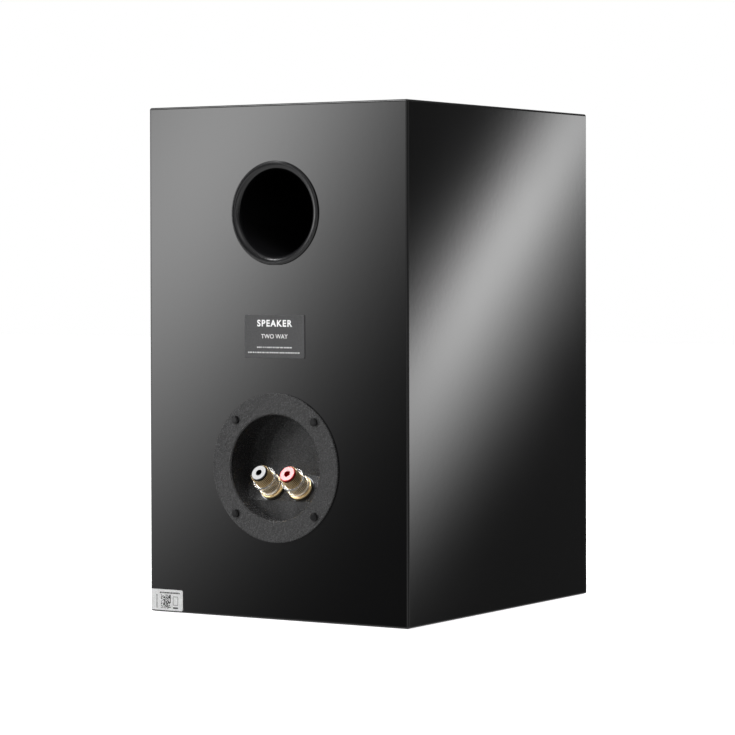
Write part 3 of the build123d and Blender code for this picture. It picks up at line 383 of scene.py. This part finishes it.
def ribbed_gold(name, node):
    """Satin gold plating of a knob's barrel, with painted shade in dark brown down its lengthwise grooves."""
    made, sh, shader = material(name, (0.80, 0.60, 0.33), 0.42, 1.0)
    joints = frame["record"]["behaviour"]["joints"]
    axis = Vector(next(joint["axis"] for joint in joints if "clamp" in joint["name"]))
    centre = middle(node)
    offset = sh.node("ShaderNodeVectorMath", {0: place(sh), 1: centre}, operation="SUBTRACT")
    across = sh.node("ShaderNodeVectorMath", {0: offset, 1: axis.normalized()}, operation="CROSS_PRODUCT")
    radius = sh.node("ShaderNodeVectorMath", {0: across}, output="Value", operation="LENGTH")
    crest = sh.node("ShaderNodeMapRange", {0: radius, 1: GROOVE_RADIUS, 2: CREST_RADIUS})
    # Painted shade: the nearer a point lies to the bottom of a groove, the darker brown it is; the speckle
    # adds random wear.
    wear_and_groove_shade = sh.math("MULTIPLY_ADD", speckle(sh, 1500.0), 0.3, sh.math("MULTIPLY", crest, 0.85))
    sh.tree.links.new(sh.ramp(wear_and_groove_shade, PLATING_AND_GROOVE_SHADE), shader.inputs["Base Color"])
    vary_roughness(sh, shader, scale=1200.0, low=0.34, high=0.5)
    return made


def woven(name, colour, thread, roughness=0.8, sheen=0.3):
    """Cloth with two crossed sets of threads, thread metres apart."""
    made, sh, shader = material(name, colour, roughness, Sheen_Weight=sheen)
    where = place(sh)
    x, z = (sh.node("ShaderNodeSeparateXYZ", {0: where}, output=i) for i in (0, 2))
    warp = sh.math("SINE", sh.math("MULTIPLY", x, math.tau / thread))
    weft = sh.math("SINE", sh.math("MULTIPLY", z, math.tau / thread))
    height = sh.math("MULTIPLY_ADD", sh.math("MULTIPLY", warp, weft), 0.5, 0.5)
    dark = tuple(c * 0.55 for c in colour)
    sh.tree.links.new(sh.ramp(height, ((0.1, (*dark, 1)), (0.9, (*colour, 1)))), shader.inputs["Base Color"])
    bump(sh, shader, height, thread * 0.12)
    return made


def fibrous(name, colour):
    """Matted polyester fibre, drawn out along Y and Z."""
    made, sh, shader = material(name, colour, 0.95, Sheen_Weight=0.5)
    stretched = sh.node("ShaderNodeMapping", {"Vector": place(sh), "Scale": (1.0, 0.25, 0.6)})
    fibres = speckle(sh, 420.0, 8.0, stretched)
    low = tuple(c * 0.7 for c in colour)
    sh.tree.links.new(sh.ramp(fibres, ((0.35, (*low, 1)), (0.65, (*colour, 1)))), shader.inputs["Base Color"])
    bump(sh, shader, fibres, 0.0006)
    return made


def wound(name, colour, wire):
    """Enamelled wire in close turns, stacked along Z and along the depth."""
    made, sh, shader = material(name, colour, 0.28, 1.0)
    y, z = (sh.node("ShaderNodeSeparateXYZ", {0: place(sh)}, output=i) for i in (1, 2))
    turns = sh.math("ABSOLUTE", sh.math("SINE", sh.math("MULTIPLY", sh.math("ADD", z, y), math.pi / wire)))
    dark = tuple(c * 0.4 for c in colour)
    sh.tree.links.new(sh.ramp(turns, ((0.05, (*dark, 1)), (0.6, (*colour, 1)))), shader.inputs["Base Color"])
    bump(sh, shader, turns, wire * 0.3)
    return made


def clear_plastic():
    """Clear plastic, slightly frosted, that shows what stands inside it."""
    colour = (0.95, 0.95, 0.945)
    made, sh, shader = material("clear_plastic", colour, 0.13, Transmission_Weight=0.97, IOR=1.46)
    bump(sh, shader, speckle(sh, 500.0, 1.0), 0.000003)
    return made


def ringed(name, colour, roughness, centre_z, pitch, depth):
    """A pressed or moulded surface with fine rings about a driver's axis."""
    made, sh, shader = material(name, colour, roughness)
    offset = sh.node("ShaderNodeVectorMath", {0: place(sh), 1: (0, 0, centre_z)}, operation="SUBTRACT")
    flat = sh.node("ShaderNodeVectorMath", {0: offset, 1: (1, 0, 1)}, operation="MULTIPLY")
    radius = sh.node("ShaderNodeVectorMath", {0: flat}, output="Value", operation="LENGTH")
    rings = sh.math("SINE", sh.math("MULTIPLY", radius, math.tau / pitch))
    grain = speckle(sh, 1800.0, 4.0)
    height = sh.math("MULTIPLY_ADD", rings, 0.25, grain)
    vary_colour(sh, shader, 700.0, tuple(c * 0.75 for c in colour), tuple(c * 1.2 for c in colour))
    vary_roughness(sh, shader, 900.0, roughness - 0.08, roughness + 0.08)
    bump(sh, shader, height, depth)
    return made


# Moulded and pressed surfaces: colour, roughness, grain per metre, depth of the relief in metres.
MOULDED = {
    "bare_mdf": ((0.42, 0.30, 0.19), 0.85, 900.0, 0.00008),
    "label_film": ((0.042, 0.042, 0.043), 0.38, 1300.0, 0.00003),
    "sticker_paper": ((0.52, 0.52, 0.52), 0.45, 2400.0, 0.000004),
    "foam": ((0.02, 0.02, 0.02), 0.9, 3000.0, 0.0001),
    "basket_metal": ((0.012, 0.012, 0.0125), 0.38, 1900.0, 0.00003),
    "ferrite": ((0.035, 0.035, 0.038), 0.7, 700.0, 0.0001),
    "surround_rubber": ((0.011, 0.011, 0.011), 0.42, 1500.0, 0.00001),
    "faceplate_plastic": ((0.012, 0.012, 0.0125), 0.4, 2100.0, 0.00002),
    "circuit_board": ((0.30, 0.20, 0.08), 0.5, 300.0, 0.00001),
    "cement": ((0.72, 0.70, 0.64), 0.8, 1100.0, 0.0001),
    "lead_insulation": ((0.02, 0.02, 0.02), 0.45, 900.0, 0.00001),
}
# Smooth plastics: colour, roughness.
POLISHED = {
    "port_plastic": ((0.005, 0.005, 0.0055), 0.2),
    "black_plastic": ((0.008, 0.008, 0.009), 0.09),
    "red_plastic": ((0.52, 0.003, 0.006), 0.09),
    "capacitor_film": ((0.05, 0.09, 0.4), 0.25),
}
# Metals: colour, roughness, and a grain and depth where they differ from the usual.
METALS = {
    "gold": ((0.86, 0.66, 0.36), 0.32),
    "nickel": ((0.66, 0.63, 0.58), 0.22),
    # Motor steel is near black as painted shade, for the tweeter motor seen at the far end of the port's deep
    # bore.
    "motor_steel": ((0.07, 0.07, 0.075), 0.4, 800.0, 0.00002),
    "coil_former": ((0.7, 0.7, 0.7), 0.3),
}
RING_PITCH = 1.6 * MM

MATERIALS = {
    "lacquer": lacquer(),
    "wadding": fibrous("wadding", (0.78, 0.78, 0.76)),
    "textured_plastic": leathered(
        "textured_plastic", dark=0.010, light=0.042, roughness=0.25, grain=1100.0, depth=0.0003
    ),
    "black_steel": polished("black_steel", (0.002, 0.002, 0.0023), 0.14, Specular_IOR_Level=0.3),
    "clear_plastic": clear_plastic(),
    "spider_cloth": woven("spider_cloth", (0.55, 0.42, 0.2), thread=0.0009),
    "cone_paper": ringed("cone_polymer", (0.022, 0.022, 0.024), 0.42, woofer_z, RING_PITCH, 0.00004),
    "dust_cap": ringed("dust_cap", (0.020, 0.020, 0.022), 0.38, woofer_z, RING_PITCH, 0.00003),
    "copper": wound("copper", (0.72, 0.30, 0.14), wire=0.5 * MM),
    "dome_silk": woven("dome_silk", (0.05, 0.05, 0.053), thread=0.35 * MM, roughness=0.55, sheen=0.5),
}
for maker, looks in ((moulded, MOULDED), (polished, POLISHED), (metal, METALS)):
    for slot, look in looks.items():
        MATERIALS[slot] = maker(slot, *look)


def print_ink(name, colour):
    """Matt ink, uneven at the scale of a printer's dots."""
    made, sh, shader = material(name, colour, 0.5)
    vary_colour(sh, shader, 4000.0, tuple(c * 0.85 for c in colour), colour)
    return made


WHITE_INK = print_ink("white_ink", (0.95, 0.95, 0.95))
FAINT_INK = print_ink("faint_ink", (0.62, 0.62, 0.62))
BLACK_INK = print_ink("black_ink", (0.012, 0.012, 0.012))

for entry in frame["record"]["subparts"]:
    node = nodes[entry["node"]]
    node.data.materials.clear()
    node.data.materials.append(MATERIALS[entry["material_slot"]])
    if entry["node"].startswith("knob_insert"):
        node.data.materials[0] = ribbed_gold(entry["node"], entry["node"])
    # The clear sleeves cast no shadow, so lamps reach what stands inside them.
    node.visible_shadow = entry["material_slot"] != "clear_plastic"


# ------------------------------------------------------------------ mesh helpers
ON_AXIS = 1e-7
DEFAULT_SHARP = 40
PRINT_SHARP = 20


def add_piece(name, mesh, body, slot, look=None, sharp=DEFAULT_SHARP):
    """Link a finished mesh as a piece. It rides on a body, or on none."""
    mesh.materials.append(look or MATERIALS[slot])
    for polygon in mesh.polygons:
        polygon.use_smooth = True
    mesh.set_sharp_from_angle(angle=math.radians(sharp))
    piece = bpy.data.objects.new(name, mesh)
    bpy.context.scene.collection.objects.link(piece)
    if body:
        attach(piece, body)
    return piece


def mesh_from(name, shape):
    """The finished mesh of a bmesh, which is freed."""
    mesh = bpy.data.meshes.new(name)
    shape.to_mesh(mesh)
    shape.free()
    return mesh


def turned(name, outline, height, segments=160):
    """A closed (radius, depth) outline turned about a driver's axis at a height."""
    shape = bmesh.new()
    rings = []
    for radius, depth in outline:
        if radius < ON_AXIS:
            rings.append([shape.verts.new((0, depth, height))] * segments)
            continue
        ring = []
        for step in range(segments):
            angle = math.tau * step / segments
            ring.append(shape.verts.new((radius * math.cos(angle), depth, height + radius * math.sin(angle))))
        rings.append(ring)
    for first, second in zip(rings, rings[1:] + rings[:1]):
        for step in range(segments):
            after = (step + 1) % segments
            corners = [first[step], first[after], second[after], second[step]]
            corners = [c for i, c in enumerate(corners) if c not in corners[:i]]
            if len(corners) > 2:
                shape.faces.new(corners)
    bmesh.ops.recalc_face_normals(shape, faces=shape.faces)
    return mesh_from(name, shape)


def shell(points, thickness):
    """Closed outline of a thin shell: the points, then the same points moved back, in reverse."""
    return list(points) + [(radius, depth + thickness) for radius, depth in reversed(points)]


def blend_by_radius(piece, height):
    """Set each vertex at its radius from the driver's axis on X, bake the piece's transform, then put every
    vertex back.
    """
    rest = [vertex.co.copy() for vertex in piece.data.vertices]
    for vertex in piece.data.vertices:
        radius = math.hypot(vertex.co.x, vertex.co.z - height)
        vertex.co = (radius, 0, 0)
    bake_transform(piece)
    for vertex, co in zip(piece.data.vertices, rest):
        vertex.co = co


# ------------------------------------------------------------------ woofer front
CONE_NECK_RADIUS = 16.7 * MM
CONE_DEPTH = 25.3 * MM
CONE_SAG = 3.0 * MM
CONE_THICKNESS = 0.9 * MM
CONE_STEPS = 40


def cone_profile():
    """Front line of the cone from its rim to its neck, in metres."""
    low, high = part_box("woofer_cone")
    rim, front = high[0], low[1]
    points = []
    for step in range(CONE_STEPS + 1):
        share = step / CONE_STEPS
        radius = rim - (rim - CONE_NECK_RADIUS) * share
        points.append((radius, front + CONE_DEPTH * share - 4 * CONE_SAG * share * (1 - share)))
    return points


def make_cone():
    mesh = turned("cone", shell(cone_profile(), CONE_THICKNESS), woofer_z)
    cone = add_piece("cone", mesh, "woofer_moving", "cone_paper")
    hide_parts("woofer_cone")


CAP_THICKNESS = 0.8 * MM
CAP_HEM_WIDTH = 0.9 * MM
CAP_HEM_ROUNDING = 0.1 * MM
CAP_STEPS = 24


def make_dust_cap():
    low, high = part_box("woofer_dust_cap")
    rim, apex, seat = high[0], low[1], high[1]
    rise = seat - apex
    ball = (rim * rim + rise * rise) / (2 * rise)
    points = []
    for step in range(CAP_STEPS + 1):
        radius = rim * step / CAP_STEPS
        points.append((radius, apex + ball - math.sqrt(ball * ball - radius * radius)))
    # The skirt rolls under to its glue line.
    under = seat + CAP_HEM_ROUNDING
    outline = points + [(rim - CAP_HEM_ROUNDING, under), (rim - CAP_HEM_WIDTH, under)]
    outline += [(radius, depth + CAP_THICKNESS) for radius, depth in reversed(points[:-2])]
    cap = add_piece("dust_cap", turned("dust_cap", outline, woofer_z), "woofer_moving", "dust_cap")
    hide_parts("woofer_dust_cap")


ROLL_FLATTENING = 0.98


def roll_outline(node, centre, radius, thickness, lip, steps=28):
    """Half-roll between two flat lips, from the CAD node's own box."""
    low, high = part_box(node)
    outer, base = high[0], high[1]
    front = base - thickness
    points = [(outer, front), (centre + radius + 1.2 * lip, front)]
    for step in range(steps + 1):
        angle = math.pi * step / steps
        points.append((centre + radius * math.cos(angle), front - radius * math.sin(angle) * ROLL_FLATTENING))
    points += [(centre - radius - lip, front), (centre - radius - 2 * lip, front)]
    return shell(points, thickness)


def make_surrounds():
    outline = roll_outline(
        "woofer_surround", centre=64.3 * MM, radius=5.6 * MM, thickness=0.85 * MM, lip=0.45 * MM
    )
    piece = add_piece("surround", turned("surround", outline, woofer_z), None, "surround_rubber")
    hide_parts("woofer_surround")
    blend_by_radius(piece, woofer_z)
    outline = roll_outline(
        "tweeter_surround", centre=15.6 * MM, radius=1.1 * MM, thickness=0.35 * MM, lip=0.15 * MM, steps=12
    )
    piece = add_piece("tweeter_roll", turned("tweeter_roll", outline, tweeter_z), None, "dome_silk")
    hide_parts("tweeter_surround")
    blend_by_radius(piece, tweeter_z)


SPIDER_INNER = 16.7 * MM
SPIDER_THICKNESS = 0.5 * MM
SPIDER_OFFSET = 0.3 * MM
SPIDER_STEPS = 96
# The corrugated band: its radii, its width, how many waves it holds and how far they swing.
WAVES_START = 19 * MM
WAVES_END = 41 * MM
WAVES_WIDTH = 22 * MM
WAVES = 4
WAVE_SWING = 1.1 * MM


def make_spider():
    low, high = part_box("woofer_spider")
    outer = high[0]
    level = (low[1] + high[1]) / 2
    points = []
    for step in range(SPIDER_STEPS + 1):
        radius = SPIDER_INNER + (outer - SPIDER_INNER) * (step / SPIDER_STEPS)
        swing = 0
        if WAVES_START < radius < WAVES_END:
            swing = math.sin(math.tau * WAVES * (radius - WAVES_START) / WAVES_WIDTH)
        points.append((radius, level - SPIDER_OFFSET - WAVE_SWING * swing))
    mesh = turned("spider", shell(points, SPIDER_THICKNESS), woofer_z, segments=96)
    piece = add_piece("spider", mesh, None, "spider_cloth")
    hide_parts("woofer_spider")
    blend_by_radius(piece, woofer_z)


make_cone()
make_dust_cap()
make_surrounds()
make_spider()


# ------------------------------------------------------------------ soft and flexible pieces inside
PAD_THICKNESS = 22 * MM
PAD_SQUARENESS = 5
PAD_COLUMNS = 56
PAD_ROWS = 36
# Tufts in the fibre: share of the full thickness, its swing to either side, and how many there are per metre.
TUFT_LEVEL = 0.86
TUFT_SWING = 0.12
TUFTS = 45


def puffed(u, v):
    """Share of a pad's thickness at a place from -1 to 1 each way: full in the middle, rounded at the rim."""
    return ((1 - abs(u) ** PAD_SQUARENESS) * (1 - abs(v) ** PAD_SQUARENESS)) ** 0.5


def add_pad(shape, side, low, high):
    """One pad against a side wall: two puffed layers of faces that share their rim."""
    middle_y, middle_z = (low.y + high.y) / 2, (low.z + high.z) / 2
    half_y, half_z = (high.y - low.y) / 2, (high.z - low.z) / 2
    centre_x = side * (high.x - PAD_THICKNESS / 2)
    layers = []
    for face in (-1, 1):
        layer = []
        for i in range(PAD_COLUMNS + 1):
            column = []
            for j in range(PAD_ROWS + 1):
                u, v = 2 * i / PAD_COLUMNS - 1, 2 * j / PAD_ROWS - 1
                if face == 1 and (abs(u) == 1 or abs(v) == 1):
                    column.append(layers[0][i][j])
                    continue
                y, z = middle_y + half_y * u, middle_z + half_z * v
                fibre = noise.noise(Vector((side * 3 + face, y * TUFTS, z * TUFTS)))
                tuft = TUFT_LEVEL + TUFT_SWING * fibre
                x = centre_x + face * PAD_THICKNESS / 2 * puffed(u, v) * tuft
                column.append(shape.verts.new((x, y, z)))
            layer.append(column)
        layers.append(layer)
    for layer in layers:
        for near, far in zip(layer, layer[1:]):
            for j in range(PAD_ROWS):
                shape.faces.new((near[j], far[j], far[j + 1], near[j + 1]))


def make_wadding(name, node):
    """Two lofted fibre pads, one against each side wall, within the CAD pads' boxes."""
    low, high = (Vector(c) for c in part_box(node))
    shape = bmesh.new()
    for side in (-1, 1):
        add_pad(shape, side, low, high)
    bmesh.ops.recalc_face_normals(shape, faces=shape.faces)
    pads = add_piece(name, mesh_from(name, shape), "cabinet", "wadding")
    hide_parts(node)


STRAND_RADIUS = 0.24  # in millimetres
STRANDS = 3
STRAND_TURNS = 16
STRAND_STEPS = 220
STRAND_SIDES = 6


def add_strand(shape, path, number):
    """One strand of a braided lead, wound about the lead's path."""
    last = None
    for step, point in enumerate(path):
        along = path[min(step + 1, STRAND_STEPS)] - path[max(step - 1, 0)]
        turn = math.tau * (STRAND_TURNS * step / STRAND_STEPS + number / STRANDS)
        east = along.cross(Vector((0, 1, 0))).normalized()
        north = along.cross(east).normalized()
        centre = point + (east * math.cos(turn) + north * math.sin(turn)) * STRAND_RADIUS * MM
        ring = []
        for k in range(STRAND_SIDES):
            bend = math.tau * k / STRAND_SIDES
            out = (east * math.cos(bend) + north * math.sin(bend)) * STRAND_RADIUS * MM
            ring.append(shape.verts.new(centre + out))
        if last:
            for k in range(STRAND_SIDES):
                after = (k + 1) % STRAND_SIDES
                shape.faces.new((last[k], last[after], ring[after], ring[k]))
        else:
            shape.faces.new(ring)
        last = ring
    shape.faces.new(last)


def make_tinsel_leads():
    """Braided leads from the terminal strip to the woofer's neck."""
    low, high = (Vector(c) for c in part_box("woofer_tinsel_leads"))
    shape = bmesh.new()
    for side in (-1, 1):
        # A Bezier route: its end at the terminal strip, two handles, and its end at the neck.
        route = (
            Vector((side * 9.7 * MM, high.y - 1.5 * MM, high.z - 0.6 * MM)),
            Vector((side * 12.2 * MM, high.y + 1.0 * MM, high.z - 14 * MM)),
            Vector((side * 8.6 * MM, high.y - 3.0 * MM, low.z + 16 * MM)),
            Vector((side * 6.0 * MM, low.y + 0.9 * MM, low.z + 0.6 * MM)),
        )
        path = geometry.interpolate_bezier(*route, STRAND_STEPS + 1)
        for number in range(STRANDS):
            add_strand(shape, path, number)
    bmesh.ops.recalc_face_normals(shape, faces=shape.faces)
    leads = add_piece("tinsel_leads", mesh_from("tinsel_leads", shape), None, "copper")
    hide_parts("woofer_tinsel_leads")
    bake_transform(leads)


make_wadding("wadding_pads_upper", "wadding_upper")
make_wadding("wadding_pads_lower", "wadding_lower")
make_tinsel_leads()


# ------------------------------------------------------------------ printing
INK = 0.03 * MM
HEAVY_LETTER_SPACING = 1.22
PLATE_SEED = 7
STICKER_SEED = 11


def printed(name, blocks, face_y, look, slot):
    """Ink on a face that looks along +Y, as thin blocks: x and z of the middle, width and height of each."""
    shape = bmesh.new()
    for x, z, wide, tall in blocks:
        spot = Matrix.Translation((x, face_y + INK / 2, z)) @ Matrix.Diagonal((wide, INK, tall, 1))
        bmesh.ops.create_cube(shape, size=1, matrix=spot)
    return add_piece(name, mesh_from(name, shape), "cabinet", slot, look, PRINT_SHARP)


def lettering(name, words, width, x, face_y, z, heavy, look, slot):
    """Raised ink lettering of a given width, to be read from behind. heavy thickens its strokes."""
    curve = bpy.data.curves.new(name, "FONT")
    curve.body = words
    curve.align_x = "CENTER"
    curve.align_y = "CENTER"
    curve.offset = heavy
    curve.space_character = HEAVY_LETTER_SPACING if heavy else 1.0
    typed = bpy.data.objects.new(name, curve)
    bpy.context.scene.collection.objects.link(typed)
    bpy.context.view_layer.update()
    size = width / typed.dimensions.x
    curve.extrude = INK / size / 2
    bpy.context.view_layer.update()
    graph = bpy.context.evaluated_depsgraph_get()
    mesh = bpy.data.meshes.new_from_object(typed.evaluated_get(graph))
    bpy.data.objects.remove(typed)
    facing = Matrix(((-size, 0, 0), (0, 0, size), (0, size, 0))).to_4x4()
    mesh.transform(Matrix.Translation((x, face_y + INK / 2, z)) @ facing)
    return add_piece(name, mesh, "cabinet", slot, look, PRINT_SHARP)


# Each line of the plate: piece, words, width and height above the middle as shares of the plate, weight.
PLATE_WORDS = (
    ("plate_title", "SPEAKER", 0.58, 0.30, 0.03),
    ("plate_kind", "TWO WAY", 0.44, 0.0, 0.0),
)
# Rows of small blocks under them: height above the middle and width, as shares of the plate.
PLATE_ROWS = ((-0.25, 0.58), (-0.37, 0.88))
PLATE_ROW_HEIGHT = 0.85 * MM
# Shortest and longest block and the gaps between blocks, as shares of the plate's width.
BLOCK_LENGTHS = (0.015, 0.05)
BLOCK_GAPS = (0.006, 0.006, 0.014)
ROW_END = 0.02


def print_plate():
    """Generic words and neutral lines where the photographed plate carries its text."""
    low, high = (Vector(c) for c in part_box("rating_plate"))
    face = high.y
    centre = (low + high) / 2
    wide, tall = high.x - low.x, high.z - low.z
    for name, words, share, rise, heavy in PLATE_WORDS:
        spot = centre.z + rise * tall
        lettering(name, words, share * wide, centre.x, face, spot, heavy, WHITE_INK, "label_film")
    draw = random.Random(PLATE_SEED)
    blocks = []
    for row, share in PLATE_ROWS:
        left = -share / 2
        while left < share / 2 - ROW_END:
            word = min(draw.uniform(*BLOCK_LENGTHS), share / 2 - left)
            x = centre.x - (left + word / 2) * wide
            blocks.append((x, centre.z + row * tall, word * wide, PLATE_ROW_HEIGHT))
            left += word + draw.choice(BLOCK_GAPS)
    printed("plate_lines", blocks, face, FAINT_INK, "label_film")


WORD_LENGTHS = (0.5, 1.2)  # in millimetres
WORD_HEIGHT = 1.0 * MM
WORD_GAP = 0.35 * MM
CODE_CELL = 0.62 * MM
CODE_COLUMNS = 13
CODE_ROWS = 15
CODE_FILL = 0.55
SIDE_MARKS = 11
SIDE_MARK_WIDTH = 0.9 * MM
SIDE_MARK_HEIGHTS = (0.25, 0.6)  # in millimetres
BOX_LINE = 0.3 * MM
BOX_HALF_WIDTH = 1.9 * MM
BOX_HALF_HEIGHT = 2.8 * MM


def sticker_words(draw, low, high):
    """A broken bar along the top, in place of a line of text. Blocks are placed from the sticker's edges."""
    x = low.x + 2.5 * MM
    while x < high.x - 8.5 * MM:
        word = draw.uniform(*WORD_LENGTHS) * MM
        yield x + word / 2, high.z - 2.2 * MM, word, WORD_HEIGHT
        x += word + WORD_GAP


def sticker_code(draw, low, high):
    """A random block of squares that encodes nothing."""
    corner_x, corner_z = high.x - 17.0 * MM, low.z + 1.3 * MM
    for column in range(CODE_COLUMNS):
        for row in range(CODE_ROWS):
            if draw.random() < CODE_FILL:
                x, z = corner_x + (column + 0.5) * CODE_CELL, corner_z + (row + 0.5) * CODE_CELL
                yield x, z, CODE_CELL, CODE_CELL


def sticker_side_marks(draw, low, high):
    """Short marks up one side, in place of a line of small text."""
    for step in range(SIDE_MARKS):
        z = low.z + (1.6 + 0.85 * step) * MM
        yield high.x - 5.6 * MM, z, SIDE_MARK_WIDTH, draw.uniform(*SIDE_MARK_HEIGHTS) * MM


def sticker_box(low):
    """An empty outlined box over a short bar, in place of a symbol."""
    x, z = low.x + 6.0 * MM, low.z + 6.6 * MM
    for side in (-1, 1):
        yield x + side * BOX_HALF_WIDTH, z, BOX_LINE, 5.6 * MM
        yield x, z + side * BOX_HALF_HEIGHT, 4.1 * MM, BOX_LINE
    yield x, low.z + 1.9 * MM, 4.1 * MM, WORD_HEIGHT


def print_sticker():
    """Neutral marks in the places of the photographed sticker's text, code and symbol."""
    low, high = (Vector(c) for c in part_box("serial_sticker"))
    draw = random.Random(STICKER_SEED)
    blocks = [
        *sticker_words(draw, low, high),
        *sticker_code(draw, low, high),
        *sticker_side_marks(draw, low, high),
        *sticker_box(low),
    ]
    printed("sticker_marks", blocks, high.y, BLACK_INK, "sticker_paper")


print_plate()
print_sticker()
